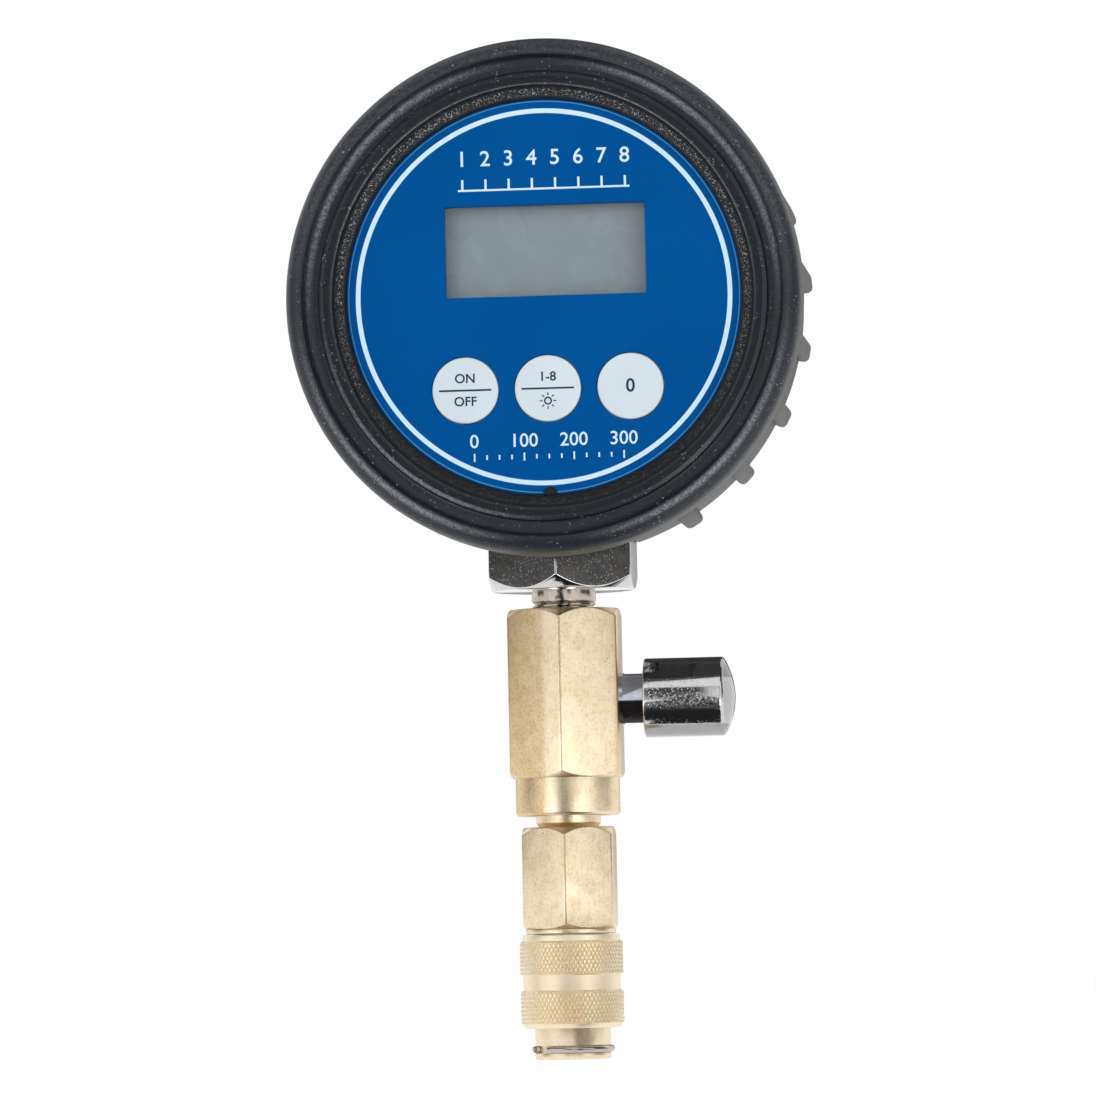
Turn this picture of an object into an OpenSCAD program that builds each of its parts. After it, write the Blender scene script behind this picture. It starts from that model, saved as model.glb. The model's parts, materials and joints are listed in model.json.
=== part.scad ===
// Digital compression tester: a round gauge in a rubber boot, a release valve
// with a push button on its stem, and a ball-lock quick coupler at the bottom.
// Millimetres. The origin is the centre of the coupler's mouth, +Z runs up the
// stem, the dial faces -Y and the release button points along +X.

/* [Quick coupler] */
// Diameter of the bore for the hose plug's tip
plug_bore_d = 7.8; // [7.2:0.1:8]
// How much wider the mouth is, which guides the plug's shoulder
mouth_extra = 0.9; // [0.7:0.05:1]
// Depth of that mouth
mouth_l = 5.4; // [4:0.1:5.5]
// Wall of the coupler's nose tube round the bore
nose_wall = 1.95; // [1.8:0.05:2.2]
// Height of the sleeve's lower end above the mouth
sleeve_start = 4.8; // [4.6:0.1:5.6]
// Length of the knurled sleeve
sleeve_l = 14.4; // [13.8:0.1:18]
// Room for the sleeve's spring round the nose tube
spring_room = 1.1; // [1:0.05:1.4]
// Depth of the plain groove between the knurled bands
sleeve_waist = 0.45; // [0.2:0.05:0.6]
// Height of each knurled band
knurl_h = 5.2; // [4:0.1:5.4]
// Wall left outside the spring chamber at the plain groove
sleeve_wall = 0.55; // [0.4:0.05:0.8]
// How far the sleeve slides down to the snap ring
sleeve_travel = 2.5; // [1.5:0.1:2.6]
// Diameter of the locking balls
ball_d = 2.5; // [2:0.1:2.6]
// Height of the ball ring above the mouth
ball_h = 7; // [6.8:0.1:7.6]
// How far each ball moves inward when the sleeve comes down
ball_travel = 0.55; // [0.3:0.05:0.6]
// How far the lock collar is pushed up by the plug
collar_travel = 3.2; // [2.8:0.1:3.6]
// Height of the lock collar's lower end above the mouth
collar_start = 5.9; // [5.7:0.1:6]
// Diameter of the hole through the lock collar
collar_bore_d = 4.2; // [3.4:0.1:4.6]
// Diameter of the snap ring's wire
ring_wire = 1.07; // [0.8:0.01:1.2]
// Height of the snap ring above the mouth
ring_h = 1.55; // [1.4:0.05:1.7]
// Opening between the snap ring's ends, in degrees
ring_gap = 25; // [15:1:40]
// Thickness of the flange above the sleeve
flange_t = 0.75; // [0.5:0.05:1.2]
// Width across the flats of the coupler's hexagon
coupler_af = 14; // [13:1:16]
// Length of the coupler's hexagon
coupler_hex_l = 15.7; // [14:0.1:18]

/* [Release body] */
// Diameter of the thread between coupler and release body
neck_d = 10; // [9:0.5:11]
// Height of the bare neck between coupler and release body
neck_show = 1.75; // [1:0.05:3]
// Diameter of the round lower end of the release body
round_d = 16.1; // [15:0.1:17]
// Length of the round lower end of the release body
round_l = 5.8; // [4:0.1:8]
// Width across the flats of the release body
body_af = 17; // [16:1:19]
// Length of the release body's hexagon
body_hex_l = 26.1; // [24:0.1:30]
// Depth of the threaded bores at both ends of the release body
socket_l = 9.6; // [8:0.1:10]
// Distance of the valve bush below the upper of those bores
bush_below = 0.45; // [0.4:0.05:1]
// Diameter of the air passage inside the release body
passage_d = 6; // [5:0.1:6.4]

/* [Release valve] */
// Diameter of the valve bush where it is screwed into the body
bush_d = 7.9; // [7.4:0.1:8.4]
// Width across the flats of the hexagon bush between body and button
bush_af = 7.3; // [7:0.1:7.5]
// Bare length of the valve bush when the button is out
bush_show = 3.8; // [3.4:0.1:5]
// How far the button is pressed
press_travel = 2.5; // [1.5:0.1:2.8]
// Diameter of the button
button_d = 12.2; // [11.4:0.1:14]
// Length of the button's straight side
button_l = 12.4; // [11:0.1:15]
// Height of the button's domed end
button_dome = 1.6; // [0.8:0.1:2.4]
// Thickness of the button's end behind the dome
button_end = 5.4; // [4:0.1:6]
// Diameter of the valve pin
pin_d = 2; // [1.6:0.1:2.2]
// Diameter of the valve head at the pin's inner end
head_d = 4.6; // [4.2:0.1:5]

/* [Gauge stem] */
// Diameter of the threaded spigot below the stem's hexagon
spigot_d = 9.9; // [9:0.1:10.4]
// Bare length of the spigot above the release body
spigot_show = 2.9; // [2:0.1:4]
// Width across the flats of the stem's hexagon
stem_af = 22; // [20:1:23]
// Length of the stem's hexagon
stem_hex_l = 8.7; // [8:0.1:10]
// Diameter of the threaded shank inside the case
shank_d = 12; // [11:0.5:13]
// Diameter of the bore through the stem
stem_bore_d = 3.5; // [3:0.1:4]
// Thickness of the nut that clamps the stem in the case
stem_nut_t = 4.4; // [4:0.1:5]
// Diameter of the pressure sensor's can
sensor_d = 14; // [13:0.5:15]
// Height of the pressure sensor's can
sensor_h = 5; // [4:0.1:5.4]
// How far the shank stands out of its nut
shank_over = 1.6; // [1.4:0.1:2]

/* [Case] */
// Radius of the case
case_r = 34.2; // [33.8:0.1:36]
// Thickness of the case walls
case_wall = 2; // [1.6:0.1:2.2]
// Distance of the case's back behind the stem axis
case_back = 12.6; // [12.4:0.1:13.2]
// How far the flat pad for the stem stands out of the case
pad_out = 0.8; // [0.5:0.05:1.4]
// Thickness of the case under the stem's nut
pad_t = 5.8; // [5:0.1:6.5]
// Distance of the dial face in front of the stem axis
dial_front = 22.3; // [22:0.1:23]
// Thickness of the dial panel
panel_t = 1.2; // [1:0.1:1.5]
// Width of the bezel's front ring round the dial
bezel_ring = 3.1; // [2.8:0.1:3.6]
// How far the bezel stands in front of the dial
bezel_rise = 1.6; // [1.2:0.1:2]
// Height of the bezel in front of the case seam
bezel_t = 3.8; // [3.4:0.1:4]
// How much smaller the bezel's radius is than the case's
bezel_inset = 1; // [0.8:0.1:1.2]
// Radius of the half-round key at the bottom of the bezel
key_tab_r = 1.05; // [0.8:0.05:1.4]

/* [Display and keys] */
// Width of the display window
window_w = 30.6; // [28:0.1:31]
// Height of the display window
window_h = 13.9; // [12:0.1:15]
// Height of the window's centre above the dial's centre
window_up = 7.1; // [6:0.1:7.5]
// Sideways place of the window and keys on the dial
art_side = 0.35; // [0:0.05:0.6]
// Diameter of each key
key_d = 10.1; // [9:0.1:10.6]
// Space between neighbouring keys
key_space = 2.5; // [2.3:0.1:3]
// Distance of the keys' middle inside the dial's rim
key_inset = 16.1; // [15:0.1:16.4]
// How far a key is pressed
key_travel = 0.5; // [0.3:0.05:0.5]
// Height of a key above the dial
key_rise = 0.25; // [0.1:0.05:0.4]
// Running gap round each key
key_gap = 0.14; // [0.1:0.01:0.2]
// Thickness of the display glass
glass_t = 2.8; // [2.4:0.1:3]
// Thickness of the light plate behind the display
light_t = 2.2; // [1.8:0.1:2.4]
// Thickness of the circuit board
board_t = 1.6; // [1.2:0.1:2]
// How much smaller the circuit board's radius is than the case's
board_inset = 4.7; // [4.2:0.1:5.2]

/* [Power] */
// Diameter of a battery cell
cell_d = 10.5; // [10:0.1:10.6]
// Room for the contact at each end of a cell
contact_room = 4.15; // [4:0.05:5]
// Distance of the cells' axes behind the stem axis
cell_back = 5; // [4.4:0.1:5.2]
// Spacing of the two cells
cell_pitch = 11.4; // [11.2:0.1:12]
// Height of the middle between the cells above the lowest point of the case
cell_rise = 31.8; // [31.6:0.1:32.4]
// Distance of the battery bay's ends inside the case's radius
bay_inset = 8.2; // [8:0.1:8.6]
// Thickness of the battery door
door_t = 1.5; // [1.2:0.1:1.6]
// How far the door lifts off the case
door_lift = 12; // [8:1:20]

/* [Rubber boot] */
// Wall thickness of the boot round the case
boot_wall = 3.7; // [3.4:0.1:4.5]
// Distance of the boot's back plane behind the stem axis
boot_back = 14; // [13.8:0.1:15]
// How far the front rim stands out beyond the boot's body
rim_out = 1.4; // [1:0.1:2]
// Radius of the rounding on the front rim
rim_round = 2.2; // [1.8:0.1:2.4]
// Straight depth of the front rim behind its rounding
rim_depth = 6.2; // [5:0.1:8]
// Height of the rim's crest in front of the bezel
crest_rise = 2.3; // [1.9:0.1:2.6]
// Radius of the hollow between crest and inner lip
cove_r = 2.2; // [1.9:0.05:2.3]
// How far the front lip laps over the bezel
lip_lap = 1.05; // [0.8:0.05:1.3]
// Thickness of the front lip
lip_t = 0.85; // [0.6:0.05:1]
// How far the boot's back laps over the case's back
back_lap = 2.8; // [2.4:0.1:3.2]
// Number of grip lugs on each side
lug_count = 9; // [5:1:9]
// Angle between neighbouring lugs
lug_pitch = 16; // [14:0.5:16]
// Angle of the first lug from the stem
lug_first = 31.2; // [30:0.2:36]
// Width of a lug
lug_w = 3.1; // [2.4:0.1:3.6]
// Height of a lug
lug_h = 1.4; // [1:0.1:1.4]
// How far the lugs run behind the stem axis
lug_back = 5.5; // [4:0.1:6.5]

/* [Hidden] */
$fn = 96;

// Clearances: a running fit between turned parts, a seat, and a loose gap
run_fit = 0.06;
seat = 0.05;
slack = 0.3;

// Heights along the stem
sleeve_end = sleeve_start + sleeve_l;
flange_start = sleeve_end + 0.1;
coupler_start = flange_start + flange_t;
coupler_end = coupler_start + coupler_hex_l;
body_start = coupler_end + neck_show;
body_hex_start = body_start + round_l;
body_end = body_hex_start + body_hex_l;
stem_hex_start = body_end + spigot_show;
stem_hex_end = stem_hex_start + stem_hex_l;
gauge_z = stem_hex_end + pad_out + case_r;
button_z = body_end - socket_l - bush_below - bush_d / 2;

// Radii of the coupler
plug_r = plug_bore_d / 2;
mouth_r = plug_r + mouth_extra / 2;
nose_r = plug_r + nose_wall;
ball_r = ball_d / 2;
ball_ring_r = plug_r + ball_r;
chamber_r = nose_r + spring_room;
waist_r = chamber_r + sleeve_wall;
sleeve_r = waist_r + sleeve_waist;
flange_r = chamber_r;
sleeve_shoulder = ball_h + sleeve_travel + 2.1;
ball_slope = ball_travel / sleeve_travel;
groove_r = ball_ring_r + (ball_r + run_fit) * sqrt(1 + ball_slope * ball_slope);
land_r = nose_r + run_fit + 0.02;
collar_r = plug_r - seat;
collar_lead = ball_h - collar_start;
collar_nose_r = collar_r - ball_travel * collar_lead / collar_travel;
nose_step = collar_start + 3.7;
collar_flange_t = 1.6;
cylinder_r = plug_r + 0.85;
nose_thread_l = 5.9;
nose_thread_r = nose_r - 0.05;
tail_end = nose_step + collar_flange_t + collar_travel + 3.1;

// Depths along the gauge's axis, positive towards the dial
panel_back = dial_front - panel_t;
bezel_front = dial_front + bezel_rise;
case_front = bezel_front - bezel_t;
crest = bezel_front + crest_rise;
window_t = 1.1;
window_front = panel_back - 0.1;
glass_front = window_front - window_t - 0.1;
glass_back = glass_front - glass_t;
light_back = glass_back - seat - light_t;
board_front = light_back - seat;
board_back = board_front - board_t;
key_flange_t = 0.8;
key_flange_front = panel_back - 0.1;
switch_h = 3.4;
plunger_top = board_front + switch_h + 0.8;

// Places on the dial
bezel_r = case_r - bezel_inset;
dial_r = bezel_r - bezel_ring;
board_r = case_r - board_inset;
lip_r = bezel_r - lip_lap;
key_pitch = key_d + key_space;
key_down = dial_r - key_inset;
back_hole_r = case_r - back_lap;
boot_gap = 0.1;
boot_inner_r = case_r + boot_gap;
boot_r = boot_inner_r + boot_wall;
rim_r = boot_r + rim_out;
boss_inset = 5.633;
boss_at = (case_r - boss_inset) / sqrt(2);
post_inset = 5.6;
post_down = 3;
post_side = dial_r - post_inset;
post_places = [[-post_side, -post_down], [post_side, -post_down], [0, -post_side]];
stem_well_y = -(case_r + pad_out) + pad_t;

// Small parts inside: switches, screws, contacts and the sensor's neck
switch_w = 6;
plunger_r = 1.7;
post_screw_d = 1.5;
post_screw_l = 5;
post_head_d = 3.4;
post_head_t = 1.1;
contact_r = 2.6;
contact_wire = 0.25;
plate_w = 7.2;
sensor_neck_r = sensor_d / 4;
sensor_neck_l = 4;
sensor_lid_t = 0.48;
pin_l = 2.4;
sensor_lid_r = sensor_d * 0.4;
sensor_pin_step = sensor_d / 7;
shank_top = stem_hex_end + pad_t + stem_nut_t + shank_over;

// Battery bay
cell_down = case_r - cell_rise;
bay_half = case_r - bay_inset;
cell_l = 2 * (bay_half - contact_room);
bay_low = -cell_down - cell_pitch / 2 - cell_d / 2 - 0.4;
bay_high = -cell_down + cell_pitch / 2 + cell_d / 2 + 0.4;
bay_front = -cell_back + cell_d / 2 + 0.5;
door_half = bay_half + 1.1;
door_low = bay_low - 1.1;
door_high = bay_high + 1.1;
ledge_depth = -case_back + door_t;

// Button
bush_out = body_af / 2 + bush_show;
button_end_x = bush_out + button_l;
button_hollow = button_end_x - button_end;
bush_end = button_hollow - press_travel - 0.5;
bush_start = 2.7;
bush_turn = 37;
spring_seat = 9.5;
pin_end = button_hollow + 2.4;

function arc(cx, cy, rx, ry, a0, a1, n) =
    [for (i = [0:n]) let (a = a0 + (a1 - a0) * i / n) [cx + rx * cos(a), cy + ry * sin(a)]];

// Puts a shape drawn as the dial is seen, z towards the viewer, at the gauge
module at_gauge() {
    translate([0, 0, gauge_z]) rotate([90, 0, 0]) children();
}

// Puts a shape drawn along z on the button's axis
module at_button() {
    translate([0, 0, button_z]) rotate([0, 90, 0]) children();
}

module tube(r_out, r_in, z0, z1) {
    translate([0, 0, z0]) difference() {
        cylinder(r = r_out, h = z1 - z0);
        translate([0, 0, -1]) cylinder(r = r_in, h = z1 - z0 + 2);
    }
}

module rod(r, z0, z1) {
    translate([0, 0, z0]) cylinder(r = r, h = z1 - z0);
}

// A hexagon bar with flats towards +X and -X and turned chamfers at both ends
module hex_bar(af, z0, z1, cut_low, cut_high) {
    r_face = af / 2 - 0.12;
    r_corner = af / sqrt(3) + 0.01;
    intersection() {
        translate([0, 0, z0]) rotate([0, 0, 30]) cylinder(r = af / sqrt(3), h = z1 - z0, $fn = 6);
        rotate_extrude() polygon([[0, z0], [r_face, z0], [r_corner, z0 + cut_low],
                                  [r_corner, z1 - cut_high], [r_face, z1], [0, z1]]);
    }
}

// A flat ring of square section with rounded edges, for seals
module seal_ring(r_out, r_in, z0, z1) {
    w = (r_out - r_in) / 2;
    h = (z1 - z0) / 2;
    e = min(w, h) * 0.6;
    rotate_extrude() polygon([[r_in + e, z0], [r_out - e, z0], [r_out, z0 + e], [r_out, z1 - e],
                              [r_out - e, z1], [r_in + e, z1], [r_in, z1 - e], [r_in, z0 + e]]);
}

module rounded_plate(x0, x1, y0, y1, r, z0, z1) {
    translate([0, 0, z0]) linear_extrude(z1 - z0) union() {
        translate([x0 + r, y0]) square([x1 - x0 - 2 * r, y1 - y0]);
        translate([x0, y0 + r]) square([x1 - x0, y1 - y0 - 2 * r]);
        for (x = [x0 + r, x1 - r], y = [y0 + r, y1 - r]) translate([x, y]) circle(r = r);
    }
}

// One unbroken helical wire. rings and sides are the counts on one turn
function coil_ring(r, w, a, z, sides) =
    [for (k = [0:sides - 1]) let (t = 360 * k / sides)
        [(r + w * cos(t)) * cos(a), (r + w * cos(t)) * sin(a), z + w * sin(t)]];

module coil(r, w, z0, z1, turns, rings = 12, sides = 6) {
    n = ceil(turns * rings);
    low = z0 + w;
    high = z1 - w;
    echo(least_gap_between_turns = (high - low) / turns - 2 * w);
    rise = (high - low) / n;
    points = [for (i = [0:n]) each coil_ring(r, w, 360 * turns * i / n, low + rise * i, sides)];
    walls = [for (i = [0:n - 1], k = [0:sides - 1])
        let (a = i * sides + k, b = i * sides + (k + 1) % sides)
            each [[a, a + sides, b], [b, a + sides, b + sides]]];
    first = [for (k = [1:sides - 2]) [0, k, k + 1]];
    last = [for (k = [1:sides - 2]) [n * sides, n * sides + k + 1, n * sides + k]];
    polyhedron(points = points, faces = concat(walls, first, last));
}

// A pan-head screw drawn head down at z = 0, its shank towards +z
module screw(d, l, head_d, head_t) {
    difference() {
        union() {
            translate([0, 0, -head_t]) cylinder(r = head_d / 2, h = head_t);
            translate([0, 0, -0.01]) cylinder(r = d / 2, h = l);
        }
        for (a = [0, 90]) rotate([0, 0, a])
            translate([-head_d * 0.32, -0.25, -head_t - 1]) cube([head_d * 0.64, 0.5, head_t * 0.55 + 1]);
    }
}

// Rubber boot
function boot_profile() = concat(
    [[bezel_r + boot_gap, bezel_front + seat], [lip_r, bezel_front + seat]],
    arc(lip_r + 1.05, bezel_front + seat + 0.35, 1.05, lip_t - 0.35, 180, 40, 6),
    [[boot_r - 3.62, bezel_front - 0.1]],
    arc(boot_r - 1.1 - cove_r, crest - 0.1, cove_r, cove_r, 262, 360, 9),
    arc(rim_r - rim_round, crest - rim_round, rim_round, rim_round, 96, 0, 9),
    [[rim_r, crest - rim_round - rim_depth + 0.4], [rim_r - 0.4, crest - rim_round - rim_depth],
     [boot_r + 0.3, crest - rim_round - rim_depth], [boot_r, crest - rim_round - rim_depth - 0.3]],
    arc(boot_r - 4, -lug_back - 2, 4, boot_back - lug_back - 2, 0, -90, 8),
    [[back_hole_r + 0.3, -boot_back], [back_hole_r, -boot_back + 0.3], [back_hole_r, -case_back - boot_gap],
     [boot_inner_r, -case_back - boot_gap], [boot_inner_r, case_front + boot_gap],
     [bezel_r + boot_gap, case_front + boot_gap]]);

// A grip lug: a rib along the boot with a rounded crown
module lug() {
    r_tip = 1.1;
    lug_l = crest - rim_round - rim_depth + lug_back + 3;
    translate([0, 0, -lug_back - 2]) linear_extrude(lug_l) union() {
        translate([-lug_w / 2, boot_r - 1]) square([lug_w, 1 + lug_h - r_tip]);
        translate([-lug_w / 2 + r_tip, boot_r - 1]) square([lug_w - 2 * r_tip, 1 + lug_h]);
        for (x = [-lug_w / 2 + r_tip, lug_w / 2 - r_tip])
            translate([x, boot_r + lug_h - r_tip]) circle(r = r_tip, $fn = 32);
    }
}

module lugs() {
    intersection() {
        for (side = [-1, 1], i = [0:lug_count - 1])
            rotate([0, 0, 180 + side * (lug_first + i * lug_pitch)]) lug();
        rotate_extrude() polygon([
            [boot_r - 0.9, -lug_back - 1.4], [boot_r, -lug_back - 1.4],
            [boot_r + lug_h * 0.75, -lug_back - 0.7], [boot_r + lug_h + 1, -lug_back + 1.2],
            [boot_r + lug_h + 1, crest], [boot_r - 0.9, crest]]);
    }
}

module boot() {
    s = stem_af / 2 + 0.4;
    color([0.16, 0.17, 0.18]) difference() {
        at_gauge() union() {
            rotate_extrude($fn = 128) polygon(boot_profile());
            lugs();
        }
        translate([0, 0, stem_hex_start - 5]) linear_extrude(stem_hex_l + 13) polygon([
            [-s, -s / sqrt(3)], [0, -2 * s / sqrt(3)], [s, -s / sqrt(3)],
            [s, boot_back + 1], [-s, boot_back + 1]]);
    }
}

// Case
module boss_places() {
    for (x = [-boss_at, boss_at], y = [-boss_at, boss_at]) translate([x, y, 0]) children();
}

module case_body() {
    color([0.1, 0.1, 0.11]) difference() {
        union() {
            at_gauge() {
                rotate_extrude($fn = 128) polygon([
                    [0, -case_back], [case_r - 0.6, -case_back], [case_r, -case_back + 0.6],
                    [case_r, case_front], [case_r - case_wall, case_front],
                    [case_r - case_wall, -case_back + case_wall], [0, -case_back + case_wall]]);
                boss_places() rod(3.2, -case_back + 0.5, board_front);
                translate([-door_half - 0.6, door_low - 0.6, -case_back + 0.5])
                    cube([2 * door_half + 1.2, door_high - door_low + 1.2, bay_front + 1.2 + case_back - 0.5]);
            }
            translate([0, 0, stem_hex_end]) rotate([0, 0, 30])
                cylinder(r = stem_af / sqrt(3), h = pad_t, $fn = 6);
        }
        at_gauge() {
            boss_places() {
                rod(1.5, -case_back - 1, board_front + 1);
                rod(2.7, -case_back - 1, 0);
            }
            translate([-bay_half, bay_low, -case_back - 1])
                cube([2 * bay_half, bay_high - bay_low, bay_front + case_back + 1]);
            rounded_plate(-door_half, door_half, door_low, door_high, 2, -case_back - 1, ledge_depth);
            translate([0, door_high + 0.2, 0]) {
                rod(3.6 + slack / 2, -case_back - 1, ledge_depth);
                rod(1, ledge_depth - 1, -case_back + 6);
            }
        }
        rod(shank_d / 2 + run_fit, stem_hex_end - 1, stem_hex_end + pad_t + 1);
    }
}

module case_bezel() {
    color([0.13, 0.13, 0.14]) difference() {
        at_gauge() union() {
            rotate_extrude($fn = 128) polygon([
                [dial_r + 1.15, board_front + 0.05], [case_r - case_wall - 0.1, board_front + 0.05],
                [case_r - case_wall - 0.1, case_front + seat], [bezel_r, case_front + seat],
                [bezel_r, bezel_front - 0.2], [bezel_r - 0.2, bezel_front], [dial_r + 0.6, bezel_front],
                [dial_r, dial_front + seat], [dial_r + 1.15, dial_front + seat]]);
            boss_places() rod(2.5, board_front + 0.05, panel_back - 0.05);
            for (a = [45:90:315]) rotate([0, 0, a])
                translate([boss_at * sqrt(2) + 1.5, -1, board_front + 0.3])
                    cube([1.7, 2, panel_back - board_front - 0.6]);
            translate([art_side, -dial_r, 0]) intersection() {
                rod(key_tab_r, panel_back, dial_front + 0.5);
                translate([-2, -1, 0]) cube([4, 3, 40]);
            }
        }
        at_gauge() boss_places() rod(1.05, board_front - 1, panel_back - 1.2);
    }
}

module case_screws() {
    color([0.7, 0.7, 0.72]) at_gauge() boss_places() screw(2, board_front + 4, 4.4, 1.6);
}

// Dial panel with the display opening, three key holes and the board's posts
module key_places() {
    for (i = [-1, 0, 1]) translate([art_side + i * key_pitch, -key_down, 0]) children();
}

module face_panel() {
    color([0.0, 0.33, 0.61]) at_gauge() difference() {
        union() {
            rod(dial_r + 1.1, panel_back, dial_front);
            for (p = post_places) translate([p[0], p[1], 0]) rod(2.2, board_front, panel_back + 0.1);
        }
        translate([art_side - window_w / 2, window_up - window_h / 2, panel_back - 1])
            cube([window_w, window_h, 5]);
        key_places() rod(key_d / 2 + key_gap, panel_back - 1, dial_front + 1);
        for (p = post_places) translate([p[0], p[1], 0]) rod(0.8, board_front - 1, panel_back - 1);
        translate([art_side, -dial_r, panel_back - 1]) cylinder(r = key_tab_r + 0.08, h = 5);
    }
}

module lcd_window() {
    color([0.75, 0.8, 0.82, 0.5]) at_gauge()
        translate([art_side - window_w / 2 - 1.2, window_up - window_h / 2 - 1.2, window_front - window_t])
            cube([window_w + 2.4, window_h + 2.4, window_t]);
}

module lcd_glass() {
    color([0.5, 0.54, 0.56]) at_gauge() union() {
        translate([art_side - window_w / 2 - 2.4, window_up - window_h / 2 - 3, glass_front - glass_t / 2])
            cube([window_w + 4.8, window_h + 6, glass_t / 2]);
        translate([art_side - window_w / 2 - 2.4, window_up - window_h / 2 - 1, glass_back])
            cube([window_w + 4.8, window_h + 2, glass_t / 2 + 0.1]);
    }
}

module light_plate() {
    color([0.92, 0.92, 0.88]) at_gauge() translate([0, 0, light_back]) {
        translate([art_side - window_w / 2 - 2, window_up - window_h / 2 - 0.8, 0])
            cube([window_w + 4, window_h + 1.6, light_t]);
        for (x = [-1, 1]) translate([art_side + x * (window_w / 2 + 2.4) - 0.6, window_up - 2, 0])
            cube([1.2, 4, light_t * 0.6]);
    }
}

module contact_strips() {
    strip = glass_front - glass_t / 2 - board_front;
    color([0.85, 0.75, 0.8]) at_gauge() for (y = [-1, 1])
        translate([art_side - window_w / 2 - 1, window_up + y * (window_h / 2 + 2) - 0.7, board_front])
            cube([window_w + 2, 1.4, strip]);
}

module circuit_board() {
    color([0.05, 0.35, 0.2]) at_gauge() difference() {
        rod(board_r, board_back, board_front);
        boss_places() rod(3.6, board_back - 1, board_front + 1);
        for (p = post_places) translate([p[0], p[1], 0]) rod(1.1, board_back - 1, board_front + 1);
        for (x = [-3, -1, 1, 3]) translate([x, -16, 0]) rod(0.5, board_back - 1, board_front + 1);
    }
}

module board_screws() {
    color([0.7, 0.7, 0.72]) at_gauge() for (p = post_places)
        translate([p[0], p[1], board_back]) screw(post_screw_d, post_screw_l, post_head_d, post_head_t);
}

module key_switches() {
    color([0.75, 0.75, 0.76]) at_gauge() key_places() union() {
        translate([-switch_w / 2, -switch_w / 2, board_front]) cube([switch_w, switch_w, switch_h]);
        rod(plunger_r, board_front + switch_h - 0.1, plunger_top);
    }
}

// A key: a round cap in the panel's hole, a flange behind it and a post
module key_cap(i) {
    e = 0.2;
    color([0.9, 0.9, 0.92]) at_gauge() translate([art_side + i * key_pitch, -key_down, 0])
        rotate_extrude() polygon([
            [0, plunger_top + key_travel + 0.1], [1.5, plunger_top + key_travel + 0.1],
            [1.5, key_flange_front - key_flange_t], [key_d / 2 + 0.8, key_flange_front - key_flange_t],
            [key_d / 2 + 0.8, key_flange_front], [key_d / 2, key_flange_front],
            [key_d / 2, dial_front + key_rise - e], [key_d / 2 - e, dial_front + key_rise],
            [0, dial_front + key_rise]]);
}

module key_power() { key_cap(-1); }

module key_cylinder() { key_cap(0); }

module key_clear() { key_cap(1); }

// Cells, contacts and door
module cell(side, turn) {
    color([0.25, 0.27, 0.3]) at_gauge()
        translate([0, -cell_down + side * cell_pitch / 2, -cell_back]) rotate([0, turn * 90, 0])
            translate([0, 0, -cell_l / 2]) union() {
                cylinder(r = cell_d / 2, h = cell_l);
                cylinder(r = 1.9, h = cell_l + 0.8);
            }
}

module battery_upper() { cell(1, 1); }

module battery_lower() { cell(-1, -1); }

module contact_springs() {
    color([0.8, 0.8, 0.82]) at_gauge() for (side = [-1, 1])
        translate([-side * (cell_l / 2 + 0.1), -cell_down + side * cell_pitch / 2, -cell_back])
            rotate([0, -side * 90, 0]) coil(contact_r, contact_wire, 0, bay_half - 0.6 - cell_l / 2 - 0.15, 3);
}

module contact_plates() {
    plate_x = bay_half - 0.07;
    nub_end = cell_l / 2 + 0.8 + seat;
    plate_h = cell_pitch + plate_w;
    color([0.82, 0.8, 0.75]) at_gauge() for (x = [-1, 1]) union() {
        translate([x * (plate_x - 0.25) - 0.25, -cell_down - plate_h / 2, -cell_back - plate_w / 2])
            cube([0.5, plate_h, plate_w]);
        translate([0, -cell_down + x * cell_pitch / 2, -cell_back]) rotate([0, x * 90, 0])
            rod(1.6, nub_end, plate_x - 0.2);
    }
}

module battery_door() {
    color([0.12, 0.12, 0.13]) at_gauge() difference() {
        union() {
            rounded_plate(-door_half + slack, door_half - slack, door_low + slack, door_high - slack, 1.8,
                          -case_back, ledge_depth - seat);
            translate([0, door_high + 0.2, 0]) rod(3.6 - slack / 2, -case_back, ledge_depth - seat);
            for (x = [-1, 1]) translate([x * (bay_half - 2.4) - 0.6, bay_low + 3, ledge_depth - 0.2])
                cube([1.2, bay_high - bay_low - 6, 0.9]);
        }
        translate([0, door_high + 0.2, 0]) rod(1.2, -case_back - 1, 0);
        for (i = [-4:4]) translate([i * 1.8 - 0.4, door_low + 3, -case_back - 1]) cube([0.8, 7, 1.35]);
    }
}

module door_screw() {
    color([0.75, 0.75, 0.77]) at_gauge() translate([0, door_high + 0.2, -case_back]) screw(1.8, 5.2, 3.6, 1.1);
}

// Gauge stem, its nut, the sensor and the seals
module gauge_stem() {
    color([0.72, 0.7, 0.68]) difference() {
        union() {
            hex_bar(stem_af, stem_hex_start, stem_hex_end, 2, 0.3);
            rod(spigot_d / 2, body_end - socket_l + 0.75, stem_hex_start + 1);
            rod(shank_d / 2, stem_hex_end - 1, shank_top);
        }
        rod(stem_bore_d / 2, body_end - socket_l, shank_top + 1);
        rod(sensor_neck_r + 0.1, shank_top - 4.4, shank_top + 1);
    }
}

module stem_nut() {
    nut_start = stem_hex_end + pad_t + 0.02;
    color([0.75, 0.73, 0.7]) difference() {
        hex_bar(shank_d + 5, nut_start, nut_start + stem_nut_t, 0.6, 0.6);
        rod(shank_d / 2 + run_fit, nut_start - 1, nut_start + stem_nut_t + 1);
    }
}

module sensor_seal() {
    color([0.1, 0.1, 0.1]) seal_ring(sensor_lid_r, sensor_neck_r + 0.2, shank_top + 0.01, shank_top + 0.7);
}

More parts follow.
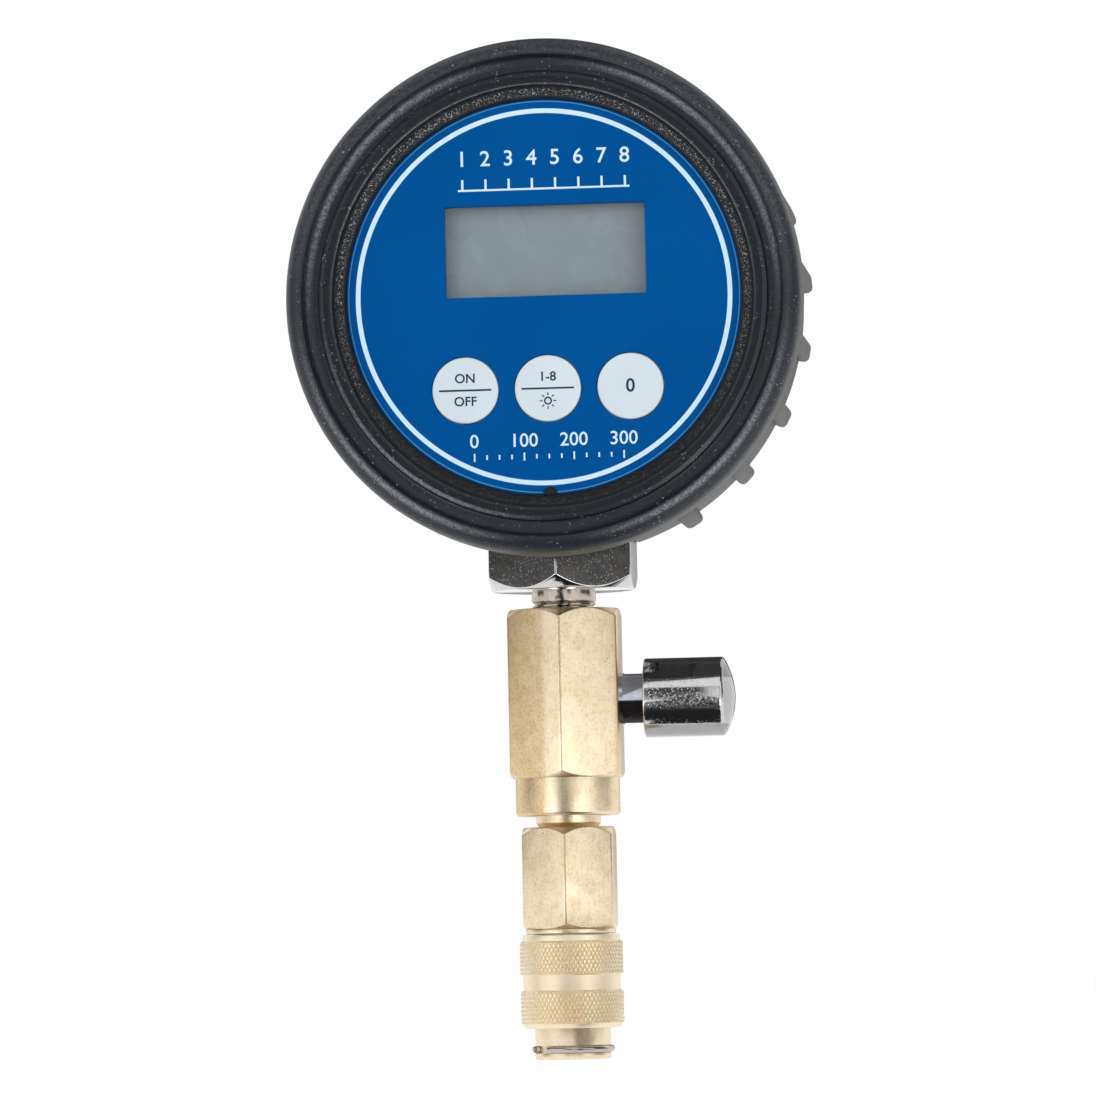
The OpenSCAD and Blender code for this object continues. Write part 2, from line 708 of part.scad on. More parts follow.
module pressure_sensor() {
    lid = shank_top + 0.72 + sensor_h;
    color([0.8, 0.8, 0.8]) union() {
        rod(sensor_neck_r, shank_top - sensor_neck_l, shank_top + 1.2);
        rod(sensor_d / 2, shank_top + 0.72, lid);
        rod(sensor_lid_r, lid - 0.12, lid + sensor_lid_t);
        for (x = [-1.5:1.5]) translate([x * sensor_pin_step, sensor_pin_step, lid - 0.72])
            cylinder(r = 0.25, h = pin_l);
    }
}

module spigot_seal() {
    low = body_end - socket_l;
    color([0.7, 0.4, 0.25]) seal_ring(spigot_d / 2 - 0.1, stem_bore_d / 2 + 1.2, low + 0.03, low + 0.73);
}

module neck_seal() {
    high = body_start + socket_l;
    color([0.7, 0.4, 0.25]) seal_ring(neck_d / 2 - 0.1, 2.9, high - 0.73, high - 0.03);
}

// Release body and valve
module release_body() {
    color([0.83, 0.72, 0.45]) difference() {
        union() {
            rotate_extrude() polygon([
                [0, body_start], [round_d / 2 - 0.4, body_start], [round_d / 2, body_start + 0.4],
                [round_d / 2, body_hex_start + 0.1], [0, body_hex_start + 0.1]]);
            hex_bar(body_af, body_hex_start, body_end, 1, 1.4);
        }
        rod(spigot_d / 2 + 0.05, body_end - socket_l, body_end + 1);
        rod(neck_d / 2 + 0.05, body_start - 1, body_start + socket_l);
        rod(passage_d / 2, body_start + socket_l - 1, body_end - socket_l + 1);
        at_button() {
            rod(bush_d / 2 + 0.05, 2.2, body_af / 2 + 1);
            rod(head_d / 2 + 0.7, -head_d / 2 - 1.6, 2.3);
        }
    }
}

module valve_bush() {
    color([0.75, 0.73, 0.7]) at_button() difference() {
        union() {
            rod(bush_d / 2, bush_start, body_af / 2 + 0.5);
            translate([0, 0, body_af / 2 + 0.02]) rotate([0, 0, bush_turn])
                cylinder(r = bush_af / sqrt(3), h = bush_end - body_af / 2 - 0.02, $fn = 6);
        }
        rod(pin_d / 2 + 0.35, bush_start - 1, bush_end + 1);
        rod(bush_d / 2 - 1.05, spring_seat, bush_end + 1);
    }
}

module release_button() {
    dome_r = (pow(button_d / 2 - 0.35, 2) + pow(button_dome, 2)) / (2 * button_dome);
    color([0.75, 0.74, 0.72]) at_button() difference() {
        rotate_extrude() polygon(concat(
            [[0, bush_out + 1], [0, bush_out], [button_d / 2 - 0.35, bush_out],
             [button_d / 2, bush_out + 0.35], [button_d / 2, button_end_x - 0.35]],
            arc(0, button_end_x + button_dome - dome_r, dome_r, dome_r,
                90 - asin((button_d / 2 - 0.35) / dome_r), 90, 8)));
        rod(bush_af / sqrt(3) + slack, bush_out - 1, button_hollow);
        rod(pin_d / 2 + 0.02, button_hollow - 1, pin_end + 0.2);
    }
}

module valve_pin() {
    color([0.78, 0.77, 0.75]) at_button() union() {
        rod(pin_d / 2, 0.8, pin_end);
        rod(head_d / 2, 0.5, 1.75);
    }
}

module valve_seal() {
    color([0.1, 0.1, 0.1]) at_button() seal_ring(head_d / 2, pin_d / 2 + 0.03, 1.78, bush_start - 0.04);
}

module release_spring() {
    color([0.8, 0.8, 0.8]) at_button()
        coil(bush_d / 2 - 1.6, 0.3, spring_seat + 0.05, button_hollow - 0.05, 6);
}

// Quick coupler
module coupler_adapter() {
    color([0.83, 0.72, 0.45]) difference() {
        union() {
            hex_bar(coupler_af, coupler_start, coupler_end, 0.8, 1.3);
            rotate_extrude() polygon([
                [0, coupler_end - 1], [neck_d / 2 - 0.45, coupler_end - 1],
                [neck_d / 2 - 0.45, coupler_end + 0.05], [neck_d / 2, coupler_end + neck_show * 0.35],
                [neck_d / 2, body_start + socket_l - 1.15], [neck_d / 2 - 0.4, body_start + socket_l - 0.75],
                [0, body_start + socket_l - 0.75]]);
        }
        tube(nose_r, cylinder_r - 0.1, coupler_start - 1, coupler_start + nose_thread_l + 0.1);
        rod(2.2, coupler_start - 1, body_start + socket_l);
    }
    color([0.83, 0.72, 0.45]) tube(cylinder_r - 0.1, 2.2, tail_end, coupler_start + 0.5);
}

module coupler_nose() {
    ring_low = ring_h - ring_wire / 2 - 0.04;
    ring_high = ring_h + ring_wire / 2 + 0.04;
    color([0.85, 0.74, 0.47]) difference() {
        rotate_extrude() polygon([
            [mouth_r, 0], [nose_r - 0.3, 0], [nose_r, 0.3], [nose_r, ring_low],
            [nose_r - ring_wire / 2, ring_low], [nose_r - ring_wire / 2, ring_high],
            [nose_r, ring_high], [nose_r, flange_start], [flange_r, flange_start],
            [flange_r, coupler_start - 0.02], [nose_thread_r, coupler_start - 0.02],
            [nose_thread_r, coupler_start + nose_thread_l], [cylinder_r, coupler_start + nose_thread_l],
            [cylinder_r, nose_step], [plug_r, nose_step], [plug_r, mouth_l], [mouth_r, mouth_l]]);
        for (i = [0:3]) rotate([0, 0, 45 + 90 * i]) ball_hole();
    }
}

// A radial hole that narrows inward, so that its ball can't fall through
module ball_hole() {
    translate([0, 0, ball_h]) rotate([0, 90, 0]) rotate_extrude() polygon([
        [0, plug_r - 0.6], [ball_r - 0.4, plug_r - 0.6], [ball_r + 0.04, plug_r + 0.45],
        [ball_r + 0.04, nose_r + 1], [0, nose_r + 1]]);
}

module coupler_sleeve() {
    knurl_2 = sleeve_start + 0.6;
    knurl_1 = sleeve_end - 1 - knurl_h;
    cone_end = ball_h + (groove_r - land_r) / ball_slope;
    color([0.85, 0.74, 0.47]) rotate_extrude() polygon([
        [nose_r + 0.15, sleeve_start], [sleeve_r - 0.6, sleeve_start], [sleeve_r, knurl_2],
        [sleeve_r, knurl_2 + knurl_h - 0.2], [waist_r, knurl_2 + knurl_h], [waist_r, knurl_1],
        [sleeve_r, knurl_1 + 0.2], [sleeve_r, knurl_1 + knurl_h], [waist_r, knurl_1 + knurl_h + 0.15],
        [waist_r, sleeve_end - 0.15], [waist_r - 0.15, sleeve_end],
        [chamber_r, sleeve_end], [chamber_r, sleeve_shoulder], [land_r, sleeve_shoulder],
        [land_r, cone_end], [groove_r, ball_h], [groove_r, sleeve_start + 1.1],
        [nose_r + 0.15, sleeve_start + 0.8]]);
}

module sleeve_spring() {
    color([0.8, 0.8, 0.8])
        coil((nose_r + chamber_r) / 2 + 0.03, 0.28, sleeve_shoulder + 0.05, flange_start - 0.05, 5, rings = 20);
}

module locking_ball(i) {
    color([0.85, 0.85, 0.86]) rotate([0, 0, 45 + 90 * i]) translate([ball_ring_r, 0, ball_h])
        sphere(r = ball_r, $fn = 48);
}

module locking_ball_1() { locking_ball(0); }

module locking_ball_2() { locking_ball(1); }

module locking_ball_3() { locking_ball(2); }

module locking_ball_4() { locking_ball(3); }

// Holds the balls out until a plug pushes it up
module lock_collar() {
    flange_top = nose_step + collar_flange_t;
    color([0.8, 0.7, 0.42]) rotate_extrude() polygon([
        [collar_bore_d / 2, collar_start + 0.5], [collar_nose_r - 0.75, collar_start + 0.5],
        [collar_nose_r - 0.35, collar_start], [collar_nose_r, collar_start],
        [collar_r, ball_h], [collar_r, nose_step + 0.02],
        [cylinder_r - run_fit, nose_step + 0.02], [cylinder_r - run_fit, nose_step + 0.35],
        [cylinder_r - 0.65, nose_step + 0.35], [cylinder_r - 0.65, flange_top - 0.35],
        [cylinder_r - run_fit, flange_top - 0.35], [cylinder_r - run_fit, flange_top],
        [collar_bore_d / 2, flange_top]]);
}

module plug_seal() {
    color([0.1, 0.1, 0.1])
        seal_ring(collar_nose_r - 0.8, collar_bore_d / 2 + 0.05, collar_start + 0.05, collar_start + 0.48);
}

module collar_seal() {
    flange_top = nose_step + collar_flange_t;
    color([0.1, 0.1, 0.1]) seal_ring(cylinder_r - 0.03, cylinder_r - 0.62, nose_step + 0.38, flange_top - 0.38);
}

module collar_spring() {
    flange_top = nose_step + collar_flange_t;
    color([0.8, 0.8, 0.8]) coil(cylinder_r - 0.8, 0.2, flange_top + 0.05, tail_end - 0.05, 5);
}

module snap_ring() {
    color([0.6, 0.6, 0.62]) translate([0, 0, ring_h]) rotate([0, 0, 219 + ring_gap / 2])
        rotate_extrude(angle = 360 - ring_gap) translate([nose_r + 0.03, 0])
            circle(r = ring_wire / 2, $fn = 32);
}

boot();
case_body();
case_bezel();
case_screws();
face_panel();
lcd_window();
lcd_glass();
light_plate();
contact_strips();
circuit_board();
board_screws();
key_switches();
key_power();
key_cylinder();
key_clear();
battery_upper();
battery_lower();
contact_springs();
contact_plates();
battery_door();
door_screw();
gauge_stem();
stem_nut();
pressure_sensor();
sensor_seal();
spigot_seal();
release_body();
valve_bush();
release_button();
valve_pin();
valve_seal();
release_spring();
neck_seal();
coupler_adapter();
coupler_nose();
coupler_sleeve();
sleeve_spring();
locking_ball_1();
locking_ball_2();
locking_ball_3();
locking_ball_4();
lock_collar();
plug_seal();
collar_seal();
collar_spring();
snap_ring();
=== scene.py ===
# %% [markdown]
# # A digital compression tester, dressed around its CAD frame
# The tester is a round gauge in a rubber boot, on a stem with a release valve and a
# quick coupler. The CAD model fixes every size and place, so this lesson only makes
# the surfaces: rounded rubber, drawn brass, nickel plate, print and knurling. The
# frame is loaded first, because each new piece takes its place from it.

# %% Load the fixed frame
import json
import math

import bmesh
import bpy
from mathutils import Matrix, Vector, noise

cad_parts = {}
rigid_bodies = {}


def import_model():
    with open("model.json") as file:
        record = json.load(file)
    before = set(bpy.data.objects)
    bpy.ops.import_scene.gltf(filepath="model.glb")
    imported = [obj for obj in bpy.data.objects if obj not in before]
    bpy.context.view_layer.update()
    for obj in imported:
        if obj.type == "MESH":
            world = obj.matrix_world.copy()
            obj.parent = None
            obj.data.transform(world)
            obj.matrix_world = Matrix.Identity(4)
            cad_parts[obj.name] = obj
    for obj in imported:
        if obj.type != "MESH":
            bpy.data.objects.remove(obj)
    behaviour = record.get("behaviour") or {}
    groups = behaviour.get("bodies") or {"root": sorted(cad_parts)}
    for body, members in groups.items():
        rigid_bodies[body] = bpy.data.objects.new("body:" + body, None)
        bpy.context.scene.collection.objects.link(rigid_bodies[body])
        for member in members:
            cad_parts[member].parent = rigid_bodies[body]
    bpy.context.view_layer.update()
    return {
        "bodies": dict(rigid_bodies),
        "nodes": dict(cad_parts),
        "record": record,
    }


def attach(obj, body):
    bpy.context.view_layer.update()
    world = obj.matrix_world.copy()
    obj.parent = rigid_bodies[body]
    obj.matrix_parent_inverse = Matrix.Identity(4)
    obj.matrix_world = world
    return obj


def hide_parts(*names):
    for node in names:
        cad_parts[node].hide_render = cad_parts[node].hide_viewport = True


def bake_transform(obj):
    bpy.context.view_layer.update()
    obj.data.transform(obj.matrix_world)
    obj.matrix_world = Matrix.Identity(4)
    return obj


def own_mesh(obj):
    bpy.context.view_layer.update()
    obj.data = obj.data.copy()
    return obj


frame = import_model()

scene = bpy.context.scene
kept = set(frame["nodes"].values()) | set(frame["bodies"].values())
for thing in list(bpy.data.objects):
    if thing not in kept:
        bpy.data.objects.remove(thing)
for plain in list(bpy.data.materials):
    bpy.data.materials.remove(plain)

# %% [markdown]
# ## Small tools for shapes
# Turned parts are most of this object. A turned part is easiest to draw as half of
# its section, one flat face in the XZ plane. A vertex bevel rounds the corners of
# that face, then a spin about Z makes the solid. Sizes are written in millimetres
# and become metres when the face is made. The gauge faces -Y and the button lies
# along X, so both are made along Z and then turned over by GAUGE and BUTTON.

# %% Turned shapes from a rounded section
MM = 0.001
GAUGE_Z = 0.116
BUTTON_Z = 0.0554


def at(x, y, z):
    """A move by three lengths in mm."""
    return Matrix.Translation((x * MM, y * MM, z * MM))


def about(axis, angle):
    """A turn by an angle in degrees."""
    return Matrix.Rotation(math.radians(angle), 4, axis)


GAUGE = Matrix.Translation((0, 0, GAUGE_Z)) @ about("X", 90)
BUTTON = Matrix.Translation((0, 0, BUTTON_Z)) @ about("Y", 90)


def section(points, segments=3):
    """A flat face from (radius, height, rounding) rows, with its corners rounded."""
    bm = bmesh.new()
    corners = [bm.verts.new((row[0] * MM, 0, row[1] * MM)) for row in points]
    bm.faces.new(corners)
    sizes = [row[2] if len(row) > 2 else 0 for row in points]
    for size in sorted(set(sizes) - {0}):
        chosen = [v for v, s in zip(corners, sizes) if s == size]
        bmesh.ops.bevel(bm, geom=chosen, affect="VERTICES", offset=size * MM,
                        offset_type="OFFSET", segments=segments, profile=0.5, material=-1)
    return bm


def outline(bm):
    """Leaves only the edges that a spin needs: no face, and nothing on the axis."""
    bmesh.ops.delete(bm, geom=bm.faces[:], context="FACES_ONLY")
    on_axis = [e for e in bm.edges if all(abs(v.co.x) < 1e-7 for v in e.verts)]
    bmesh.ops.delete(bm, geom=on_axis, context="EDGES")
    return bm


def wind(bm, geom, turns, steps, lift=0.0, merge=False):
    """Spins edges or faces about Z while they rise by lift millimetres in all."""
    bmesh.ops.spin(bm, geom=geom, cent=(0, 0, 0), axis=(0, 0, 1), dvec=(0, 0, lift / steps * MM),
                   angle=2 * math.pi * turns, steps=steps, use_merge=merge, use_duplicate=False)


def spin_outline(bm, steps=96):
    """Spins an outline about Z and closes the solid."""
    wind(bm, bm.verts[:] + bm.edges[:], 1, steps, merge=True)
    bmesh.ops.remove_doubles(bm, verts=bm.verts[:], dist=2e-7)
    bmesh.ops.recalc_face_normals(bm, faces=bm.faces[:])
    return bm


def turned(points, steps=96, segments=3):
    """A solid of revolution about Z from the rows of its half section."""
    return spin_outline(outline(section(points, segments)), steps)


def place(bm, matrix):
    bmesh.ops.transform(bm, matrix=matrix, verts=bm.verts[:])
    return bm


print("turned shapes use", MM, "m per mm; gauge axis at z", GAUGE_Z, "and button axis at z", BUTTON_Z)

# %% [markdown]
# ## Joining, cutting and finishing
# A hexagon bar with turned ends is what is left where a prism and a turned shape
# overlap, so it is made with the exact Boolean. Real metal has no sharp edge: a thin
# bevel of a tenth of a millimetre catches the light and draws the outline of each
# face. The last tool makes the object, gives it its finish, marks its hard edges by
# angle, and ties it to its CAD body. A piece between two bodies gets no body here.

# %% Boolean, soft edges and the finished piece


def as_object(bm, name="work"):
    mesh = bpy.data.meshes.new(name)
    bm.to_mesh(mesh)
    bm.free()
    made = bpy.data.objects.new(name, mesh)
    scene.collection.objects.link(made)
    return made


def combine(first, second, how):
    """One solid from two: INTERSECT, UNION or DIFFERENCE."""
    a, b = as_object(first), as_object(second)
    cut = a.modifiers.new("cut", "BOOLEAN")
    cut.operation, cut.object, cut.solver = how, b, "EXACT"
    result = bmesh.new()
    result.from_object(a, bpy.context.evaluated_depsgraph_get())
    for used in (a, b):
        mesh = used.data
        bpy.data.objects.remove(used)
        bpy.data.meshes.remove(mesh)
    bmesh.ops.remove_doubles(result, verts=result.verts[:], dist=2e-6)
    return result


def join(bm, other):
    """Adds another bmesh's solid to bm as its own shell."""
    spare = bpy.data.meshes.new("join")
    other.to_mesh(spare)
    other.free()
    bm.from_mesh(spare)
    bpy.data.meshes.remove(spare)
    return bm


def round_edges(bm, edges, width, segments=2, clamp=False):
    """Rounds edges by width millimetres."""
    return bmesh.ops.bevel(bm, geom=edges, affect="EDGES", offset=width * MM, offset_type="OFFSET",
                           segments=segments, profile=0.5, material=-1, clamp_overlap=clamp)


def soften(bm, width, angle):
    """Rounds every edge that is harder than an angle in degrees."""
    hard = [e for e in bm.edges if e.is_manifold and e.calc_face_angle() > math.radians(angle)]
    round_edges(bm, hard, width)
    return bm


def new_verts(made):
    """The points that an extrusion has made."""
    return [v for v in made["geom"] if isinstance(v, bmesh.types.BMVert)]


def hexagon(flats, low, high, edge=0.2):
    """A hexagon prism with flats towards +X and -X, its six long edges rounded."""
    bm = bmesh.new()
    bmesh.ops.create_circle(bm, cap_ends=True, segments=6, radius=flats / math.sqrt(3) * MM)
    bmesh.ops.translate(bm, vec=(0, 0, low * MM), verts=bm.verts[:])
    top = bmesh.ops.extrude_face_region(bm, geom=bm.faces[:])
    bmesh.ops.translate(bm, vec=(0, 0, (high - low) * MM), verts=new_verts(top))
    bmesh.ops.recalc_face_normals(bm, faces=bm.faces[:])
    upright = [e for e in bm.edges if abs(e.verts[0].co.z - e.verts[1].co.z) > 1e-4]
    round_edges(bm, upright, edge)
    return bm


def finish_piece(bm, name, body, material, slot, replaces=(), sharp=32):
    """Makes the object, gives it its material, sets its hard edges and ties it to its body; slot is not used.
    """
    bm.normal_update()
    piece = as_object(bm, name)
    piece.data.materials.append(material)
    piece.data.shade_smooth()
    piece.data.set_sharp_from_angle(angle=math.radians(sharp))
    if body:
        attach(piece, body)
    if replaces:
        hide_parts(*replaces)
    print(f"{name}: {len(piece.data.polygons)} faces on {body or 'two bodies'}")
    return piece


print("pieces are finished with", finish_piece.__name__)

# %% [markdown]
# ## Shader maths as plain expressions
# A finish is a small formula: grain times a mask, plus a streak. Value wraps one
# socket of the node tree and lets Python's own signs make the Math nodes. Graph
# makes every other node with the same call: its kind, its settings and its inputs.
# Finish is the graph of one material. Its patterns have scales in grains per metre,
# so a scale of 2000 gives two grains to the millimetre.

# %% Colours and Value

def srgb(red, green, blue):
    """A linear colour from three numbers between 0 and 255."""
    def linear(channel):
        part = channel / 255
        return part / 12.92 if part <= 0.04045 else ((part + 0.055) / 1.055) ** 2.4
    return (linear(red), linear(green), linear(blue), 1)


class Value:
    def __init__(self, graph, socket):
        self.graph, self.socket = graph, socket

    def _math(self, operation, *terms):
        return self.graph.node("Math", {"operation": operation}, dict(enumerate(terms)))

    def __add__(self, other):
        return self._math("ADD", self, other)

    def __radd__(self, other):
        return self._math("ADD", other, self)

    def __sub__(self, other):
        return self._math("SUBTRACT", self, other)

    def __rsub__(self, other):
        return self._math("SUBTRACT", other, self)

    def __mul__(self, other):
        return self._math("MULTIPLY", self, other)

    def __rmul__(self, other):
        return self._math("MULTIPLY", other, self)

    def __truediv__(self, other):
        return self._math("DIVIDE", self, other)

    def __pow__(self, other):
        return self._math("POWER", self, other)

    def size(self):
        return self._math("ABSOLUTE", self)

    def rise(self, low, high, at_low=0.0, at_high=1.0):
        """Smoothly from at_low to at_high as the value goes from low to high."""
        return self.graph.node("MapRange", {"interpolation_type": "SMOOTHSTEP", "clamp": True},
                               {0: self, 1: low, 2: high, 3: at_low, 4: at_high})

    def band(self, low, high, soft):
        """1 between low and high, and 0 outside, with soft sides."""
        return self.rise(low - soft, low + soft) * (1 - self.rise(high - soft, high + soft))


print("mid grey is", round(srgb(128, 128, 128)[0], 3), "in linear light")


# %% Graph and Finish
class Graph:
    def __init__(self, tree):
        self.tree = tree
        tree.nodes.clear()

    def node(self, kind, settings=None, inputs=None, out=0):
        made = self.tree.nodes.new("ShaderNode" + kind)
        for key, setting in (settings or {}).items():
            setattr(made, key, setting)
        for key, value in (inputs or {}).items():
            if isinstance(value, Value):
                self.tree.links.new(value.socket, made.inputs[key])
            else:
                made.inputs[key].default_value = value
        return Value(self, made.outputs[out]) if len(made.outputs) else None

    def axes(self, vector):
        """The three numbers of a vector, each as a Value."""
        parts = self.node("SeparateXYZ", None, {0: vector}).socket.node
        return [Value(self, parts.outputs[i]) for i in range(3)]

    def mix(self, share, first, second):
        return self.node("Mix", {"data_type": "RGBA"}, {0: share, 6: first, 7: second}, out=2)


class Finish(Graph):
    def __init__(self, name):
        self.material = bpy.data.materials.new(name)
        self.material.use_nodes = True
        super().__init__(self.material.node_tree)
        self.place = self.node("TexCoord", out="Object")

    def stretched(self, scale):
        return self.node("Mapping", None, {"Vector": self.place, "Scale": scale})

    def grain(self, scale, detail=2, roughness=0.5, vector=None):
        return self.node("TexNoise", None, {"Vector": vector or self.place, "Scale": scale,
                                            "Detail": detail, "Roughness": roughness})

    def cells(self, scale):
        """The distance to the nearest of many scattered points."""
        return self.node("TexVoronoi", None, {"Vector": self.place, "Scale": scale}, "Distance")

    def round_the_gauge(self):
        """x and y, the height above the gauge's axis, and the distance from it."""
        x, y, z = self.axes(self.place)
        above = z - GAUGE_Z
        return x, y, above, (x ** 2 + above ** 2) ** 0.5

    def bump(self, height, depth, strength):
        """depth is the height of the pattern, in millimetres."""
        return self.node("Bump", None, {"Height": height, "Distance": depth * MM, "Strength": strength})

    def surface(self, **sockets):
        """Ends the graph in a Principled shader and returns the material."""
        named = {key.replace("_", " "): value for key, value in sockets.items()}
        shader = self.node("BsdfPrincipled", None, named)
        self.node("OutputMaterial", None, {"Surface": shader})
        return self.material


print("shader tools:", Value.__name__, Graph.__name__, Finish.__name__)

# %% [markdown]
# ## Rubber and moulded plastic
# The boot is matt black rubber with a fine moulding grain and dust in it. Dust shows
# as pale specks, denser in some places, with a few larger crumbs. The outside and the
# lugs are painted a paler grey, as painted light from the side, and made more matt;
# that tone is mixed in by the distance from the gauge's axis. Paler painted highlights
# lie on the steps of the rim: inside the crest in the upper half, and outside it and
# on the lip in the lower half, where light from below catches them. The bezel is a
# hard black plastic with a coarse spark-eroded grain, whose tops carry silver specks
# on a narrow ring, mostly in the upper half: some wear, and painted glints.

# %% Rubber, dusty
CREST_R = 0.037
RIM_FRONT_Y, RIM_SIDE_Y = -0.0235, -0.0215


def make_rubber(name, tone, dust, painted_light):
    """dust is the strength of the dust, and the other number that of the painted highlights and the paler
    painted side, from 0 to 1.
    """
    rubber = Finish(name)
    side_light_grey, highlight_grey, dust_grey = srgb(104, 104, 101), srgb(124, 129, 136), srgb(158, 161, 166)
    broad = rubber.grain(90, 3)
    fine = rubber.grain(2600, 2, 0.6)
    deep, pale = srgb(*[c * 0.6 for c in tone]), srgb(*[c * 1.15 for c in tone])
    base = rubber.mix(broad * 0.4 + fine.rise(0.32, 0.68) * 0.6, deep, pale)
    x, y, above, radius = rubber.round_the_gauge()
    side = y.rise(RIM_FRONT_Y, RIM_SIDE_Y)
    # Painted light: the side wall and the lugs get a paler grey, standing for light from the side, and a more
    # matt surface.
    outside = radius.rise(0.0372, 0.0377) * radius.rise(0.0378, 0.0388, 0.6, 1.0) * painted_light * side
    side_lit = rubber.mix(outside * (0.75 + broad * 0.4), base, side_light_grey)
    # Each ring of painted highlight lies between two distances from the gauge's axis, in metres.
    up = above / CREST_R
    beside = (x.size() / CREST_R).rise(0.08, 0.5)
    upper, lower = up.rise(-0.15, 0.45), 1 - up.rise(-0.65, 0.0)
    hollow = radius.band(0.03545, 0.03625, 0.00045) * upper * beside
    shoulder = radius.band(0.0371, 0.0378, 0.0004) * lower * beside
    lip = radius.band(0.0336, 0.0341, 0.0002) * lower * (1 - x.rise(-0.014, 0.004)) * 0.8
    edge = radius.band(0.03222, 0.03236, 0.00006) * upper * 0.7
    rim = radius.rise(0.0368, 0.0372) * (1 - side) * upper * 0.2
    painted_highlight = (hollow + shoulder + lip + edge + rim) * (0.25 + fine.rise(0.3, 0.7)) * painted_light
    highlighted = rubber.mix(painted_highlight, side_lit, highlight_grey)
    crumbs = 1 - rubber.cells(330).rise(0.035, 0.06)
    specks = (1 - rubber.cells(1500).rise(0.10, 0.26)) * rubber.grain(420, 2).rise(0.42, 0.72)
    coloured = rubber.mix(specks * dust + crumbs * dust, highlighted, dust_grey)
    return rubber.surface(Base_Color=coloured, Roughness=0.38 + fine * 0.2 + outside * 0.2,
                          Specular_IOR_Level=0.36, Coat_Weight=0.16 - outside * 0.12,
                          Coat_Roughness=0.2, Coat_IOR=1.5,
                          Normal=rubber.bump(fine + broad * 0.5, 0.03, 0.7))


boot_rubber = make_rubber("boot_rubber", (30, 36, 43), 0.7, 0.8)
seal_rubber = make_rubber("seal_rubber", (38, 38, 40), 0.2, 0)
print("rubber:", boot_rubber.name, seal_rubber.name)


# %% Moulded black plastic, coarse and fine
def make_plastic(name, tone, coarse, wear_and_glint, gloss):
    """coarse is the grain's depth in mm. A gloss keeps the pale specks to the bezel's front ring and mostly
    its upper half: some wear, and painted glints.
    """
    plastic = Finish(name)
    pits = plastic.grain(2300, 3, 0.65)
    tops = plastic.grain(4300, 2, 0.7).rise(0.56, 0.64)
    if gloss:
        above, radius = plastic.round_the_gauge()[2:]
        # On the bezel the specks are painted glints as well as wear: kept to the front ring and mostly to its
        # upper half, which faces the light from below.
        tops = tops * radius.band(0.0306, 0.0317, 0.00015) * above.rise(-0.028, 0.016, 0.12, 1.0)
    hue = plastic.grain(700, 1).rise(0.4, 0.65)
    wear_and_glint_tone = plastic.mix(hue, srgb(170, 176, 188), srgb(176, 170, 166))
    colour = plastic.mix(tops * wear_and_glint, srgb(*tone), wear_and_glint_tone)
    return plastic.surface(Base_Color=colour, Roughness=0.5 - tops * 0.2, Specular_IOR_Level=0.35,
                           Coat_Weight=gloss * tops, Coat_Roughness=0.2, Coat_IOR=1.6,
                           Normal=plastic.bump(pits, coarse, 0.9))


bezel_black = make_plastic("bezel_black", (14, 16, 20), 0.15, 0.75, 0.3)
case_black = make_plastic("case_black", (30, 30, 33), 0.04, 0.15, 0.0)
print("plastic:", bezel_black.name, case_black.name)

# %% [markdown]
# ## Dial face, print, keys and display
# The face is a blue printed overlay with a fine satin texture. Print is a thin film
# of paint, slightly uneven. The keys are off-white plastic. The display is a blue
# grey glass behind a clear window, painted darker towards its edges as painted shade
# of its recess. The inner parts of the same kind, such as the light plate and the
# board, share this finish.

# %% Printed overlay and its inks
def make_film(name, tone, light, roughness, sheen=0.4):
    """A satin film that drifts between two close tones."""
    film = Finish(name)
    satin = film.grain(3200, 2, 0.6)
    cloud = film.grain(45, 2)
    colour = film.mix(cloud.rise(0.3, 0.75), srgb(*tone), srgb(*light))
    return film.surface(Base_Color=colour, Roughness=roughness + satin * 0.12, Specular_IOR_Level=sheen,
                        Normal=film.bump(satin, 0.012, 0.5))


dial_blue = make_film("dial_blue", (0, 77, 143), (1, 81, 150), 0.5, 0.03)
ink_white = make_film("ink_white", (200, 226, 246), (208, 232, 249), 0.5)
# The paler blue is a painted highlight for the dial's edge.
rim_highlight_blue = make_film("rim_highlight_blue", (58, 132, 190), (66, 142, 200), 0.5)
ink_navy = make_film("ink_navy", (18, 38, 74), (24, 46, 84), 0.5)
key_white = make_film("key_white", (205, 217, 225), (212, 223, 230), 0.38)
light_white = make_film("light_white", (232, 230, 220), (238, 236, 228), 0.4)
strip_rubber = make_film("strip_rubber", (205, 180, 190), (214, 190, 198), 0.6)
board_green = make_film("board_green", (22, 84, 52), (28, 96, 60), 0.35)
cell_wrap = make_film("cell_wrap", (58, 62, 70), (66, 70, 78), 0.3)
print("films:", dial_blue.name, ink_white.name, rim_highlight_blue.name, ink_navy.name, key_white.name)

# %% Display glass and clear window
DISPLAY_X, DISPLAY_Z = 0.00035, 0.1231
DISPLAY_HALF_W, DISPLAY_HALF_H = 0.0153, 0.00695
glass = Finish("display_grey")
across, depth, up = glass.axes(glass.place)
from_side = ((across - DISPLAY_X) / DISPLAY_HALF_W).size()
from_middle = ((up - DISPLAY_Z) / DISPLAY_HALF_H).size()
# Painted shade: the glass is painted darker towards its edges, as the shade of the window's recess.
edge = 1 - (1 - from_side.rise(0.80, 1.0) * 0.5) * (1 - from_middle.rise(0.55, 1.02) * 0.35)
veil = glass.grain(160, 2)
even = glass.mix(veil.rise(0.3, 0.7), srgb(100, 116, 124), srgb(106, 122, 129))
display_grey = glass.surface(Base_Color=glass.mix(edge, even, srgb(92, 104, 112)),
                             Roughness=0.22 + veil * 0.1)

